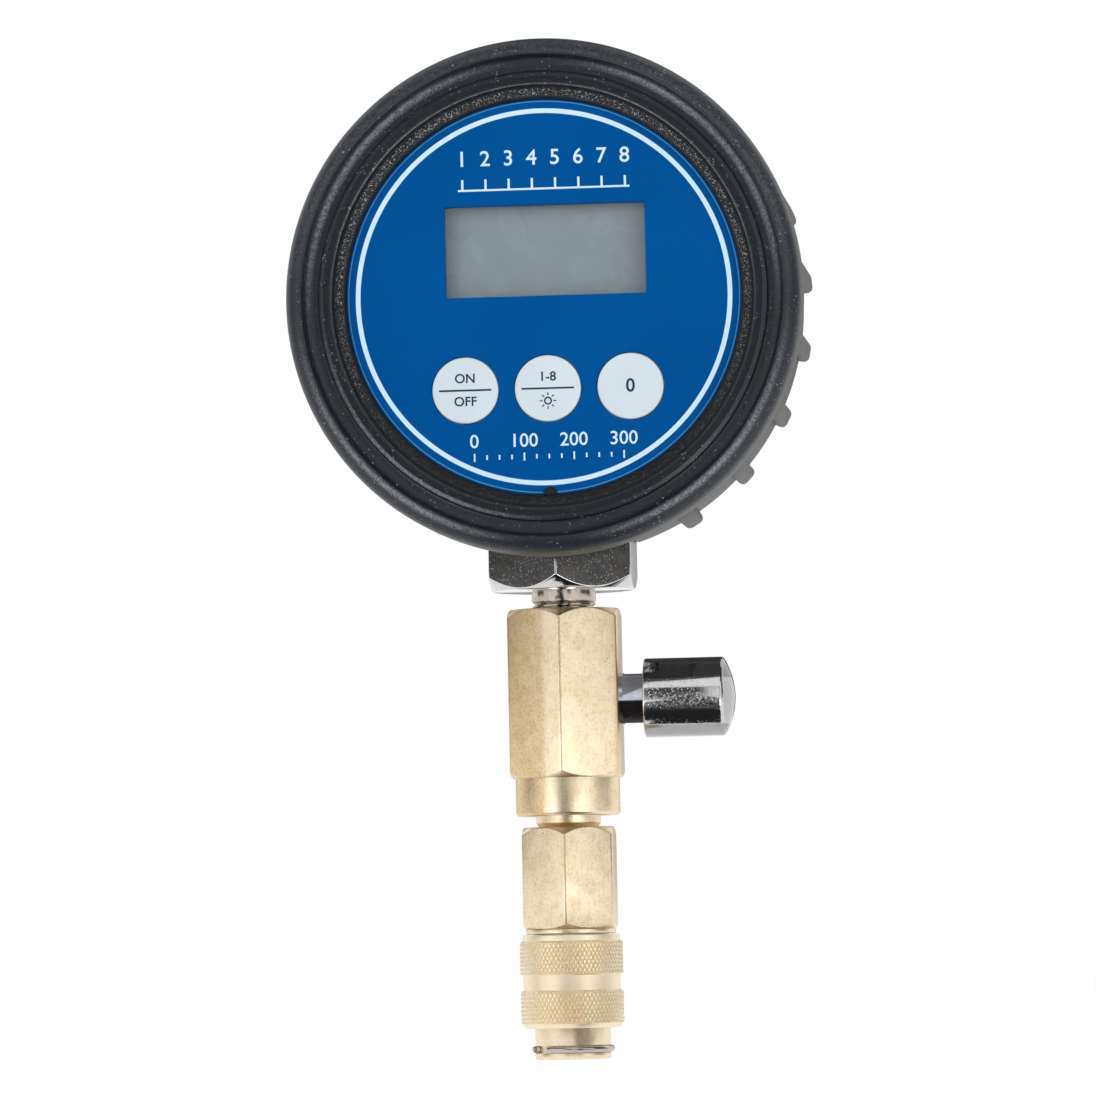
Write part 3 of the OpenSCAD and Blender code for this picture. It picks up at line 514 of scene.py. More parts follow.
clear = Finish("window_clear")
smear = clear.grain(220, 3)
window_clear = clear.surface(Base_Color=clear.mix(smear, srgb(190, 204, 208), srgb(205, 216, 220)),
                             Roughness=0.05 + smear * 0.06, Alpha=0.14 + smear * 0.03)
print("display finishes:", display_grey.name, window_clear.name)

# %% [markdown]
# ## Metals
# Bar brass is drawn through a die, so its flats carry long fine streaks, a cloudy
# tarnish and some pits. Turned brass has rings round its axis instead, and a thin
# film of oxide takes part of its shine, most on the knurl. Nickel plate is smoother
# and greyer, and a tumbled part is peppered with tiny bright dents. A metal's colour
# is in its reflection, so these are metallic and differ in roughness, tint and grain.
# Three parts have painted light and shade of their own. The left flat of the valve
# body is painted browner as painted shade, with a painted highlight beside the middle
# edge, and a warm line runs down the right. The bush is painted dark below its middle
# edge, as painted shade. The button is like a mirror, but painted darker at its upper
# and lower sides and its end, as painted shade, and peppered along its front with
# painted glints.

# %% Painted shade of the bush and the button
BUSH_EDGE_Z, BUTTON_GLINT_Z = 0.0549, 0.0548
GLINT_HALF, GLINT_SOFT = 0.0011, 0.0007


# Painted shade: the bush is painted dark below its middle edge, where its lower faces turn away from the
# light.
def shade_bush(metal, base):
    soft = 0.0002
    below = 1 - metal.axes(metal.place)[2].rise(BUSH_EDGE_Z - soft, BUSH_EDGE_Z + soft)
    return metal.mix(below, base, srgb(74, 68, 72))


# Painted shade: the button is painted darker along its upper and lower sides and on its domed end.
def shade_button(metal, base):
    x, y, z = metal.axes(metal.place)
    under, over, end = 1 - z.rise(0.0509, 0.0513), z.rise(0.0580, 0.0584), x.rise(0.0246, 0.0250)
    return metal.mix(under * 0.52 + over * 0.5 + end * 0.35, base, srgb(100, 98, 95))


print("bush edge at z", BUSH_EDGE_Z, "and rubbed line of the button at z", BUTTON_GLINT_Z)


# %% One metal from its tones, its streak, its wear and its painted light
ALONG_Z, SHORT_Z = (1, 1, 0.04), (1, 1, 0.3)
ROUND_Z, SHORT_ROUND, EVEN = (0.25, 0.25, 1), (0.3, 0.3, 1), (1, 1, 1)


def make_metal(name, tone, dark, roughness, streak=ALONG_Z, pits=0.0, mottle=0.35, lines=0.5,
               glints=0.0, flat=0.0, painted_light=0.0, dull=0.0, mark=None):
    """flat is half the width in mm of the hexagon whose flats get painted shade and a painted highlight; a
    height given after it is the middle of a band of painted glints.
    """
    metal = Finish(name)
    drawn = metal.grain(5200, 3, 0.6, metal.stretched(streak))
    cloud = metal.grain(420, 4, 0.62)
    speck = metal.grain(2400, 2, 0.6)
    tarnish_and_shading = cloud.rise(0.36, 0.70) * mottle * 0.8 + speck.rise(0.45, 0.68) * mottle * 0.9
    # On the valve body's flats, the left flat is painted browner as painted shade, and a painted highlight
    # lies pale beside the middle edge; a warm line runs down the right.
    if flat:
        across = metal.axes(metal.place)[0] / (flat * MM) + cloud * 0.08 - 0.04
        left_flat_shade, middle_highlight = 1 - across.rise(-0.40, -0.24), across.band(-0.28, -0.04, 0.05)
        tarnish_and_shading = tarnish_and_shading + left_flat_shade * 0.48 - middle_highlight * 0.12
    base = metal.mix(tarnish_and_shading, srgb(*tone), srgb(*dark))
    if flat:
        base = metal.mix(across.band(0.93, 0.985, 0.015) * 0.3, base, srgb(220, 160, 104))
    base = metal.mix((1 - drawn.rise(0.30, 0.52)) * lines * 0.5, base, srgb(*dark))
    rough = roughness * (0.7 + cloud * 0.35 + drawn * 0.25)
    height = drawn * lines + speck * 0.35
    metallic = 1 - dull
    if mark:
        base = mark(metal, base)
    if glints:
        dents = (1 - metal.cells(2600).rise(0.10, 0.22)) * metal.grain(900, 1).rise(0.36, 0.56) * glints
        # Painted glints: in a band along the button's front the dents are pale and rougher and the metal
        # duller, standing for the sparkle of a low light in front.
        if painted_light:
            z = metal.axes(metal.place)[2]
            glint_band = z.band(painted_light - GLINT_HALF, painted_light + GLINT_HALF, GLINT_SOFT)
            dents = dents * glint_band
            rough = rough + dents * 0.55
            metallic = metallic - glint_band * speck.rise(0.35, 0.7) * 0.4
        base = metal.mix(dents, base, srgb(236, 238, 242))
        height = height - (1 - metal.cells(2600).rise(0.0, 0.36)) * glints * 1.8
    if pits:
        pit = (1 - metal.cells(1300).rise(0.05, 0.14)) * metal.grain(260, 2).rise(0.50, 0.62) * pits
        base = metal.mix(pit, base, srgb(*[c * 0.45 for c in dark]))
        height = height - pit * 1.5
    return metal.surface(Base_Color=base, Metallic=metallic, Roughness=rough,
                         Normal=metal.bump(height, 0.012, 0.7))


print("streaks run along Z by", ALONG_Z, "or round it by", ROUND_Z)

# %% Brass
brass_pale, brass_tan = (248, 232, 201), (206, 174, 124)
brass_drawn = make_metal("brass_drawn", brass_pale, brass_tan, 0.34, pits=0.8)
brass_body = make_metal("brass_body", brass_pale, brass_tan, 0.34, pits=0.9, flat=8.5)
brass_turned = make_metal("brass_turned", brass_pale, brass_tan, 0.30, ROUND_Z, mottle=0.18,
                          lines=0.3, dull=0.2)
brass_knurl = make_metal("brass_knurl", (255, 243, 216), (255, 222, 174), 0.42, ROUND_Z, mottle=0.3,
                         lines=0.2, dull=0.32)
print("brass:", brass_drawn.name, brass_body.name, brass_turned.name, brass_knurl.name)

# %% Nickel, steel and copper
# The first two nickels are painted copies for the stem's flats: a dark one as painted shade on its front
# flats, and a paler one as painted light on its right flat.
nickel_shaded_flats = make_metal("nickel_shaded_flats", (84, 83, 82), (54, 52, 50), 0.30, SHORT_Z, mottle=0.5,
                        glints=0.8)
nickel_lit_flat = make_metal("nickel_lit_flat", (190, 190, 192), (160, 159, 160), 0.36, SHORT_Z,
                         mottle=0.4, glints=0.3)
nickel_warm = make_metal("nickel_warm", (198, 190, 180), (140, 126, 110), 0.12, ROUND_Z,
                         mottle=0.35, lines=0.1)
nickel_turned = make_metal("nickel_turned", (214, 213, 213), (176, 176, 178), 0.10, ROUND_Z,
                           mottle=0.2, lines=0.1, glints=0.25)
nickel_cap = make_metal("nickel_cap", (210, 210, 212), (176, 176, 180), 0.09, ROUND_Z, mottle=0.2,
                        lines=0.05, glints=1.0, painted_light=BUTTON_GLINT_Z, mark=shade_button)
nickel_satin = make_metal("nickel_satin", (206, 210, 220), (160, 164, 174), 0.2, EVEN, mottle=0.3,
                          lines=0.2, dull=0.17, mark=shade_bush)
steel_wire = make_metal("steel_wire", (196, 188, 182), (164, 154, 148), 0.2, EVEN, mottle=0.2,
                        lines=0.05)
steel = make_metal("steel", (180, 180, 184), (92, 92, 98), 0.26, SHORT_ROUND, lines=0.3)
copper = make_metal("copper", (214, 140, 104), (150, 84, 58), 0.35, SHORT_ROUND, mottle=0.4,
                    lines=0.3)
print("nickel and steel:", nickel_shaded_flats.name, nickel_turned.name, nickel_cap.name, steel.name)

# %% [markdown]
# ## Finishes for the CAD nodes that stay
# Parts whose CAD shape is already right keep their mesh and only get a finish. They
# are the inner parts, the case and the battery door. Each node goes by the material
# slot that the record gives it.

# %% Give every CAD node its finish
by_slot = {"boot_rubber": boot_rubber, "case_black": case_black, "bezel_black": bezel_black,
           "dial_blue": dial_blue, "window_clear": window_clear, "display_grey": display_grey,
           "light_white": light_white, "strip_rubber": strip_rubber, "board_green": board_green,
           "steel": steel, "key_white": key_white, "cell_wrap": cell_wrap, "nickel": nickel_turned,
           "brass": brass_turned, "seal_rubber": seal_rubber, "copper": copper}
for row in frame["record"]["subparts"]:
    mesh = frame["nodes"][row["node"]].data
    mesh.materials.clear()
    mesh.materials.append(by_slot[row["material_slot"]])
bare = [n for n, o in frame["nodes"].items() if not o.data.materials]
print("CAD nodes without a finish:", bare)

# %% [markdown]
# ## The rubber boot
# The boot is one turned moulding with lugs along its back half. Its front has several
# fine steps: an inner lip, a thin line, a valley, a hollow that turns up into the
# crest, and a wide rounded rim. All of them are corners of one section, so the spin
# makes them together. The lugs are copies of one small rounded block.

# %% Boot section
BOOT_STEPS = 224
LIP_GROOVES = range(3262, 3352, 18)
grooves = [(r / 100, z) for start in LIP_GROOVES
           for r, z in ((start, 24.66), (start + 5, 24.6), (start + 9, 24.6), (start + 14, 24.66))]
lip = [(33.3, 23.95, 0), (32.15, 23.95, 0.1), (32.15, 24.5, 0.05), (32.42, 24.64, 0.06), *grooves,
       (33.55, 24.66, 0.05), (34.2, 24.38, 0.1), (34.32, 23.8, 0.1)]
crest = [(34.95, 23.66, 0.3), (35.75, 23.86, 0.5), (36.4, 24.3, 0.3), (36.66, 26.05, 0.1),
         (36.95, 26.2, 0.12), (37.5, 26.02, 0.3)]
rim = [(38.7, 25.3, 0.9), (39.4, 23.5, 0.9), (39.4, 18.0, 0.35), (38.7, 17.62, 0.3), (38.02, 17.5, 0.2)]
rear = [(38.0, -6.5, 3.0), (36.8, -13.2, 2.0), (33.0, -14.0, 1.2), (31.4, -14.0, 0.3)]
inside = [(31.4, -12.7, 0), (34.3, -12.7, 0), (34.3, 20.2, 0), (33.3, 20.2, 0)]
boot_mesh = place(turned(lip + crest + rim + rear + inside, BOOT_STEPS), GAUGE)
print("boot ring:", len(boot_mesh.faces), "faces")

# %% Opening for the stem
STEM_FLATS = 22
OPENING_GAP = 0.4
OPENING_LOW, OPENING_HEIGHT = 67.2 * MM, 21.8 * MM
half = STEM_FLATS / 2 + OPENING_GAP
opening = bmesh.new()
corners = [(-half, -half / math.sqrt(3)), (0, -2 * half / math.sqrt(3)), (half, -half / math.sqrt(3)),
           (half, 16), (-half, 16)]
opening.faces.new([opening.verts.new((x * MM, y * MM, OPENING_LOW)) for x, y in corners])
raised = bmesh.ops.extrude_face_region(opening, geom=opening.faces[:])
bmesh.ops.translate(opening, vec=(0, 0, OPENING_HEIGHT), verts=new_verts(raised))
bmesh.ops.recalc_face_normals(opening, faces=opening.faces[:])
boot_mesh = combine(boot_mesh, opening, "DIFFERENCE")
print("boot with its opening:", len(boot_mesh.faces), "faces")

# %% Lugs
LUGS_A_SIDE, LUG_FIRST, LUG_PITCH = 9, 31.2, 16
LUG_SIZE = (3.1 * MM, 2.4 * MM, 25.0 * MM)


def add_lug(bm, angle):
    """One rounded block, turned about the gauge's axis by an angle from the top."""
    made = bmesh.ops.create_cube(bm, size=1)["verts"]
    bmesh.ops.scale(bm, vec=LUG_SIZE, verts=made)
    bmesh.ops.translate(bm, vec=(0, 38.2 * MM, 5.6 * MM), verts=made)
    block = list({e for v in made for e in v.link_edges})
    rounded = round_edges(bm, block, 0.85, 3, clamp=True)
    around = {v for f in rounded["faces"] for v in f.verts} | {v for v in made if v.is_valid}
    bmesh.ops.transform(bm, matrix=GAUGE @ about("Z", angle), verts=list(around))


for side in (-1, 1):
    for i in range(LUGS_A_SIDE):
        add_lug(boot_mesh, 180 + side * (LUG_FIRST + LUG_PITCH * i))
finish_piece(boot_mesh, "rubber_boot", "tester", boot_rubber, "boot_rubber", ["boot"], sharp=40)

# %% [markdown]
# ## The bezel with its coarse grain
# The bezel's front is a narrow ring with a grain coarse enough to see, so the grain
# is in the mesh. The ring's front strip is subdivided and each point is moved by a
# smooth noise of a few hundredths of a millimetre.

# %% Bezel ring
RING_STEPS = 800
GRAIN_LOW, GRAIN_OUTER = 22.4 * MM, 33.0 * MM
bezel_rows = [(30.1, 22.36), (30.3, 23.3, 0.1), (30.55, 23.42, 0.1), (31.5, 23.88, 0.2), (33.0, 23.9),
              (33.2, 23.7, 0.1), (33.2, 20.15), (32.1, 20.15), (32.1, 14.75), (31.25, 14.75),
              (31.25, 22.36)]
bezel_line = outline(section(bezel_rows, 2))
front = [e for e in bezel_line.edges if min(v.co.z for v in e.verts) > 22.3 * MM
         and max(v.co.x for v in e.verts) < 33.1 * MM and e.calc_length() > 0.5 * MM]
bmesh.ops.subdivide_edges(bezel_line, edges=front, cuts=9)
bezel_mesh = spin_outline(bezel_line, RING_STEPS)
for v in bezel_mesh.verts:
    if v.co.z > GRAIN_LOW and math.hypot(v.co.x, v.co.y) < GRAIN_OUTER:
        push = 0.05 * noise.noise(v.co * 2400) + 0.03 * noise.noise(v.co * 5200)
        v.co.z += push * MM
print("bezel ring:", len(bezel_mesh.faces), "faces with the grain in them")

# %% Screw bosses, their ribs and the tab at the lower edge
BOSS_R, RIB_OUT, RIB_HEIGHT = 28.567, 2.35, 17.9
for corner in (45, 135, 225, 315):
    boss = turned([(1.05, 14.76), (2.5, 14.76), (2.5, 21.04), (1.05, 21.04)], 32)
    spot = about("Z", corner) @ at(BOSS_R, 0, 0)
    join(bezel_mesh, place(boss, spot))
    rib = bmesh.ops.create_cube(bezel_mesh, size=1)["verts"]
    bmesh.ops.scale(bezel_mesh, vec=(1.7 * MM, 2 * MM, 5.8 * MM), verts=rib)
    bmesh.ops.transform(bezel_mesh, matrix=spot @ at(RIB_OUT, 0, RIB_HEIGHT), verts=rib)
tab = turned([(0, 21.12), (1.05, 21.12), (1.05, 22.8, 0.12), (0, 22.8)], 40)
join(bezel_mesh, place(tab, at(0.35, -30.1, 0)))
finish_piece(place(bezel_mesh, GAUGE), "bezel_ring", "tester", bezel_black, "bezel_black",
             ["case_bezel"], sharp=50)

# %% [markdown]
# ## Print on the dial
# The print is a thin white ring and plain numbers. A paler blue line at the rim is
# a painted highlight of the dial's edge.
# Each mark is a real layer three hundredths of a millimetre thick, so it can't
# flicker against the face under it. Numbers are Text turned into a mesh before they
# are put in place. Print, display and keys share a middle line a little to the right
# of the gauge's axis.

# %% Text, bars and rings as thin solids
DIAL = 22.3
KEY_TOP = 22.55
MIDDLE_X = 0.35
PRINT_THICK = 0.03
PRINT_MIDDLE = 0.016


def add_text(bm, text, size, x, y, level, thicken=0.0):
    """Text of a size in mm, centred at x and y on the face."""
    curve = bpy.data.curves.new("mark", "FONT")
    curve.body, curve.align_x, curve.align_y = text, "CENTER", "CENTER"
    curve.size, curve.extrude, curve.offset = size * MM, PRINT_THICK / 2 * MM, thicken * MM
    curve.resolution_u = 4
    writing = bpy.data.objects.new("mark", curve)
    scene.collection.objects.link(writing)
    graph = bpy.context.evaluated_depsgraph_get()
    flat = bpy.data.meshes.new_from_object(writing.evaluated_get(graph))
    letters = bmesh.new()
    letters.from_mesh(flat)
    bmesh.ops.remove_doubles(letters, verts=letters.verts[:], dist=1e-7)
    join(bm, place(letters, GAUGE @ at(x, y, level + PRINT_MIDDLE)))
    bpy.data.objects.remove(writing)
    bpy.data.curves.remove(curve)
    bpy.data.meshes.remove(flat)


def add_bar(bm, x, y, wide, high, level, turn=0.0):
    made = bmesh.ops.create_cube(bm, size=1)["verts"]
    bmesh.ops.scale(bm, vec=(wide * MM, high * MM, PRINT_THICK * MM), verts=made)
    spot = at(x, y, level + PRINT_MIDDLE) @ about("Z", turn)
    bmesh.ops.transform(bm, matrix=GAUGE @ spot, verts=made)


def add_ring(bm, x, y, outer, inner, level, steps=64):
    ring = turned([(inner, 0), (outer, 0), (outer, PRINT_THICK), (inner, PRINT_THICK)], steps)
    join(bm, place(ring, GAUGE @ at(x, y, level)))


print("print is", PRINT_THICK, "mm thick")


# %% White print and the painted highlight at the rim
NUMBERS, NUMBER_STEP, NUMBER_Y = 8, 3.55, 21.2
SCALE, SCALE_STEP, SCALE_Y = ("0", "100", "200", "300"), 7.6, -21.9
SCALE_MARKS, MARK_STEP, MARK_Y = 13, 1.9, -24.3
print_white = bmesh.new()
add_ring(print_white, 0, 0, 28.75, 28.03, DIAL, 256)
for i in range(NUMBERS):
    number_x = MIDDLE_X + (i - (NUMBERS - 1) / 2) * NUMBER_STEP
    add_text(print_white, str(i + 1), 3.3, number_x, NUMBER_Y, DIAL, 0.03)
    add_bar(print_white, number_x, 17.4, 0.34, 1.5, DIAL)
add_bar(print_white, MIDDLE_X, 16.5, 26.2, 0.3, DIAL)
for i, number in enumerate(SCALE):
    add_text(print_white, number, 2.9, MIDDLE_X + (i - 1.5) * SCALE_STEP, SCALE_Y, DIAL, 0.02)
for i in range(SCALE_MARKS):
    add_bar(print_white, MIDDLE_X + (i - 6) * MARK_STEP, MARK_Y, 0.24, 1.2 if i % 4 == 0 else 0.7, DIAL)
finish_piece(print_white, "dial_print", "tester", ink_white, "dial_blue")
# The paler blue ring at the rim is a painted highlight of the dial's edge, made as a thin layer like the
# print.
rim_highlight = bmesh.new()
add_ring(rim_highlight, 0, 0, 29.92, 29.74, DIAL, 256)
finish_piece(rim_highlight, "dial_rim_highlight", "tester", rim_highlight_blue, "dial_blue")

# %% [markdown]
# ## Keys
# Each key is a round cap with a rounded edge that stands a quarter of a millimetre
# out of the face. The caps and their marks ride on the key bodies, so they move when
# a key is pressed.

# %% Marks of the keys
KEY_STEP, KEY_Y = 12.6, -14.0
WORD, WORD_Y, DIVIDER = 2.0, 1.75, (8.0, 0.28)
SUN_Y, SUN_RAYS, SUN_REACH = -1.9, 8, 1.05


def power_marks(bm, x, y):
    add_text(bm, "ON", WORD, x, y + WORD_Y, KEY_TOP, 0.03)
    add_bar(bm, x, y, *DIVIDER, KEY_TOP)
    add_text(bm, "OFF", WORD, x, y - WORD_Y, KEY_TOP, 0.03)


def cylinder_marks(bm, x, y):
    add_text(bm, "1-8", WORD, x, y + WORD_Y, KEY_TOP, 0.03)
    add_bar(bm, x, y, *DIVIDER, KEY_TOP)
    add_ring(bm, x, y + SUN_Y, 0.62, 0.38, KEY_TOP, 32)
    for k in range(SUN_RAYS):
        turn = 360 / SUN_RAYS * k
        ray_x = x + SUN_REACH * math.cos(math.radians(turn))
        ray_y = y + SUN_Y + SUN_REACH * math.sin(math.radians(turn))
        add_bar(bm, ray_x, ray_y, 0.42, 0.18, KEY_TOP, turn)


def clear_marks(bm, x, y):
    add_text(bm, "0", 2.9, x, y, KEY_TOP, 0.04)


print("three keys,", KEY_STEP, "mm apart")

# %% Key caps
key_rows = [(0, 18.6), (1.5, 18.6), (1.5, 20.2), (5.85, 20.2, 0.1), (5.85, 21.0, 0.1), (5.05, 21.0),
            (5.05, KEY_TOP, 0.28), (0, KEY_TOP)]
keys = (("key_power", power_marks), ("key_cylinder", cylinder_marks), ("key_clear", clear_marks))
for i, (key, add_marks) in enumerate(keys):
    x, y = MIDDLE_X + KEY_STEP * (i - 1), KEY_Y
    cap = place(turned(key_rows, 72), GAUGE @ at(x, y, 0))
    finish_piece(cap, key + "_cap", key, key_white, "key_white", [key])
    marks = bmesh.new()
    add_marks(marks, x, y)
    finish_piece(marks, key + "_marks", key, ink_navy, "key_white")

# %% [markdown]
# ## Hexagon bars
# The stem under the boot is a nickel hexagon whose lower end is turned to a wide
# chamfer. The chamfer meets each flat in an arc. The same two tools, a prism and a
# turned shape, make all three hexagons of the tester. The stem's front flats get a
# nickel painted nearly black, as painted shade, and its right flat a paler one, as
# painted light; its chamfer and edges get the bright turned nickel.

# %% Hexagon with turned ends
def hex_bar(flats, low, high, cut_low, cut_high, edge, soft):
    """A hexagon bar whose ends are turned down over cut_low and cut_high."""
    r_face, r_corner = flats / 2 - 0.12, flats / math.sqrt(3) + 0.01
    prism = hexagon(flats, low, high, edge)
    lathe = turned([(0, low), (r_face, low), (r_corner, low + cut_low), (r_corner, high - cut_high),
                    (r_face, high), (0, high)], 120)
    bar = combine(prism, lathe, "INTERSECT")
    return soften(bar, soft, 14)


print("hexagons: stem", STEM_FLATS, "mm across flats, body 17 mm, coupler 14 mm")

# %% Gauge stem
stem = hex_bar(STEM_FLATS, 72.3, 81.0, 2.0, 0.3, 0.18, 0.08)
neck_rows = [(1.75, 80.5), (6.0, 80.5), (6.0, 92.79, 0.3), (3.6, 92.79), (3.6, 88.4), (1.75, 88.4)]
join(stem, turned(neck_rows, 72))
stem_piece = finish_piece(stem, "nickel_stem", "tester", nickel_shaded_flats, "nickel", ["gauge_stem"], sharp=30)
# Painted light and shade: the front flats keep the dark nickel, the right flat gets the paler one, and the
# chamfer and edges the turned nickel.
for other in (nickel_turned, nickel_lit_flat):
    stem_piece.data.materials.append(other)
angles = [math.radians(60 * k) for k in range(6)]
flats = [Vector((math.cos(angle), math.sin(angle), 0)) for angle in angles]
for face in stem_piece.data.polygons:
    if max(face.normal.dot(flat) for flat in flats) < 0.985:
        face.material_index = 1
    elif face.normal.x > 0.9:
        face.material_index = 2
print("bright faces on the stem:", sum(face.material_index > 0 for face in stem_piece.data.polygons))

# %% [markdown]
# ## The thread
# The stem ends in a smooth collar and a threaded spigot. A thread is one small shape
# spun round the axis while it rises, so the spin gets a lift for each of its steps.

# %% Threaded spigot
ROOT_R, THREAD_CREST_R, PITCH = 4.42, 4.93, 0.9
THREAD_LOW, THREAD_TURNS, STEPS_A_TURN = 66.6, 4.15, 48


def add_thread(bm):
    """A ridge wound round Z: one small face spun with a lift."""
    rows = ((ROOT_R - 0.1, -0.5), (THREAD_CREST_R, -0.08), (THREAD_CREST_R, 0.08), (ROOT_R - 0.1, 0.5))
    profile = [bm.verts.new((r * MM, 0, (THREAD_LOW + PITCH * share) * MM)) for r, share in rows]
    steps = int(THREAD_TURNS * STEPS_A_TURN)
    wind(bm, [bm.faces.new(profile)], THREAD_TURNS, steps, PITCH * THREAD_TURNS)
    bmesh.ops.recalc_face_normals(bm, faces=bm.faces[:])
    return bm


spigot = turned([(1.75, 60.55), (4.95, 60.55, 0.4), (4.95, 66.0), (ROOT_R, 66.0), (ROOT_R, 70.3),
                 (4.95, 70.55, 0.12), (4.95, 72.35), (1.75, 72.35)], 96)
join(spigot, add_thread(bmesh.new()))
finish_piece(spigot, "threaded_spigot", "tester", nickel_warm, "nickel", sharp=30)

# %% Release body with its hole for the bush
body = hex_bar(17, 43.3, 69.4, 1.0, 1.4, 0.28, 0.09)
thread_hole = turned([(0, 59.8), (5.0, 59.8), (5.0, 70), (0, 70)], 72)
bush_hole = place(turned([(0, 2.2), (4.0, 2.2), (4.0, 10), (0, 10)], 64), BUTTON)
for hole in (thread_hole, bush_hole):
    body = combine(body, hole, "DIFFERENCE")
round_end = [(5.05, 37.5), (7.75, 37.5, 0.1), (8.05, 37.85, 0.15), (8.05, 43.4), (5.05, 43.4)]
join(body, turned(round_end, 96))
finish_piece(body, "valve_body", "tester", brass_body, "brass", ["release_body"], sharp=30)

# %% [markdown]
# ## Bush and release button
# The bush is a small hexagon, bored out and screwed into the body, with one of its
# edges towards the viewer. The button is a nickel cap with a domed end that slides
# over it. Both lie along X, so they are made along Z and turned over.

# %% Bush
BUSH_TURN = 7
bush = place(hexagon(7.3, 8.52, 16.3, 0.12), about("Z", BUSH_TURN))
bush_steps = (("DIFFERENCE", 48, [(0, 8), (2.9, 9.5), (2.9, 17), (0, 17)]),
              ("UNION", 72, [(0, 2.7), (3.95, 2.7, 0.2), (3.95, 9.0), (0, 9.0)]),
              ("DIFFERENCE", 48, [(0, 2), (1.35, 2), (1.35, 9.5), (0, 9.5)]))
for how, steps, rows in bush_steps:
    bush = combine(bush, turned(rows, steps), how)
finish_piece(place(bush, BUTTON), "valve_neck", "tester", nickel_satin, "nickel", ["valve_bush"])

# %% Button
dome = [(0, 26.3), (2.2, 26.1, 1.2), (4.3, 25.45, 1.2), (5.75, 24.72, 0.25), (6.1, 24.45, 0.25)]
skirt = [(6.1, 12.3, 0.3), (4.515, 12.3, 0.1), (4.515, 19.3)]
pin_hole = [(1.02, 19.3), (1.02, 21.9), (0, 21.9)]
cap = place(turned(dome + skirt + pin_hole, 96, 4), BUTTON)
finish_piece(cap, "button_cap", "release_button", nickel_cap, "nickel", ["release_button"])

# %% [markdown]
# ## Coupler: hexagon, nose and flange
# Below the body comes a smaller brass hexagon with a threaded neck, and under it the
# nose with its thin flange, which the hose plug enters. Four holes in the nose narrow
# inward and hold the locking balls.

# %% Coupler hexagon
adapter = hex_bar(14, 20.05, 35.75, 0.8, 1.3, 0.25, 0.08)
socket = turned([(0, 19), (5.87, 19), (5.87, 26.1), (0, 26.1)], 72)
adapter = combine(adapter, socket, "DIFFERENCE")
join(adapter, turned([(2.2, 35.0), (4.55, 35.0), (4.55, 35.8, 0.05), (5.0, 36.36, 0.15),
                      (5.0, 46.3, 0.3), (2.2, 46.3)], 96))
join(adapter, turned([(2.2, 17.5), (4.75, 17.5), (4.75, 26.6), (2.2, 26.6)], 72))
finish_piece(adapter, "coupler_hex", "tester", brass_drawn, "brass", ["coupler_adapter"], sharp=30)

# %% Nose with its flange and ball holes
BALL_Z = 7
tube = [(4.35, 0, 0.15), (5.85, 0, 0.3), (5.85, 0.97, 0.05), (5.315, 0.97), (5.315, 2.13),
        (5.85, 2.13, 0.05), (5.85, 19.3)]
flange = [(6.95, 19.3, 0.12), (6.95, 20.03, 0.12), (5.8, 20.03)]
inside = [(5.8, 25.9), (4.75, 25.9), (4.75, 9.6), (3.9, 9.6), (3.9, 5.4, 0.2), (4.35, 5.4)]
nose = turned(tube + flange + inside, 96)
ball_hole = [(0, 3.35), (0.85, 3.35), (1.29, 4.4), (1.29, 7), (0, 7)]
for turn in (45, 135, 225, 315):
    drill = place(turned(ball_hole, 32), about("Z", turn) @ at(0, 0, BALL_Z) @ about("Y", 90))
    nose = combine(nose, drill, "DIFFERENCE")
finish_piece(nose, "coupler_nose_tube", "tester", brass_turned, "brass", ["coupler_nose"])

# %% [markdown]
# ## The knurled sleeve
# Knurling is two sets of grooves that cross and leave small diamonds. A spin makes a
# grid of squares. Poke puts a point in each square, and when the old grid lines are
# dissolved, what is left between the points are diamonds. An inset of each diamond
# with a little height gives its flat top.

# %% Sleeve with two bands of squares
COLUMNS, ROWS = 72, 4
BAND_R, DIAMOND_R = 7.72, 7.95
outer_side = [(6.0, 4.8), (7.3, 4.8, 0.12), (BAND_R, 5.5), (BAND_R, 10.5), (7.5, 10.65), (7.5, 12.95),
              (BAND_R, 13.1), (BAND_R, 18.1), (7.5, 18.25), (7.5, 19.05, 0.1), (7.35, 19.2)]
inner_side = [(6.95, 19.2), (6.95, 11.6), (5.93, 11.6), (5.93, 9.5), (6.49, 7.0), (6.49, 5.9), (6.0, 5.6)]
sleeve_line = outline(section(outer_side + inner_side, 2))
bands = [e for e in sleeve_line.edges if all(abs(v.co.x - BAND_R * MM) < 1e-6 for v in e.verts)]
bmesh.ops.subdivide_edges(sleeve_line, edges=bands, cuts=ROWS - 1)
sleeve = spin_outline(sleeve_line, COLUMNS)


def radii(face):
    return [math.hypot(v.co.x, v.co.y) for v in face.verts]


squares = [f for f in sleeve.faces if all(abs(r - BAND_R * MM) < 2e-6 for r in radii(f))]
print("sleeve:", len(squares), "squares in its bands")

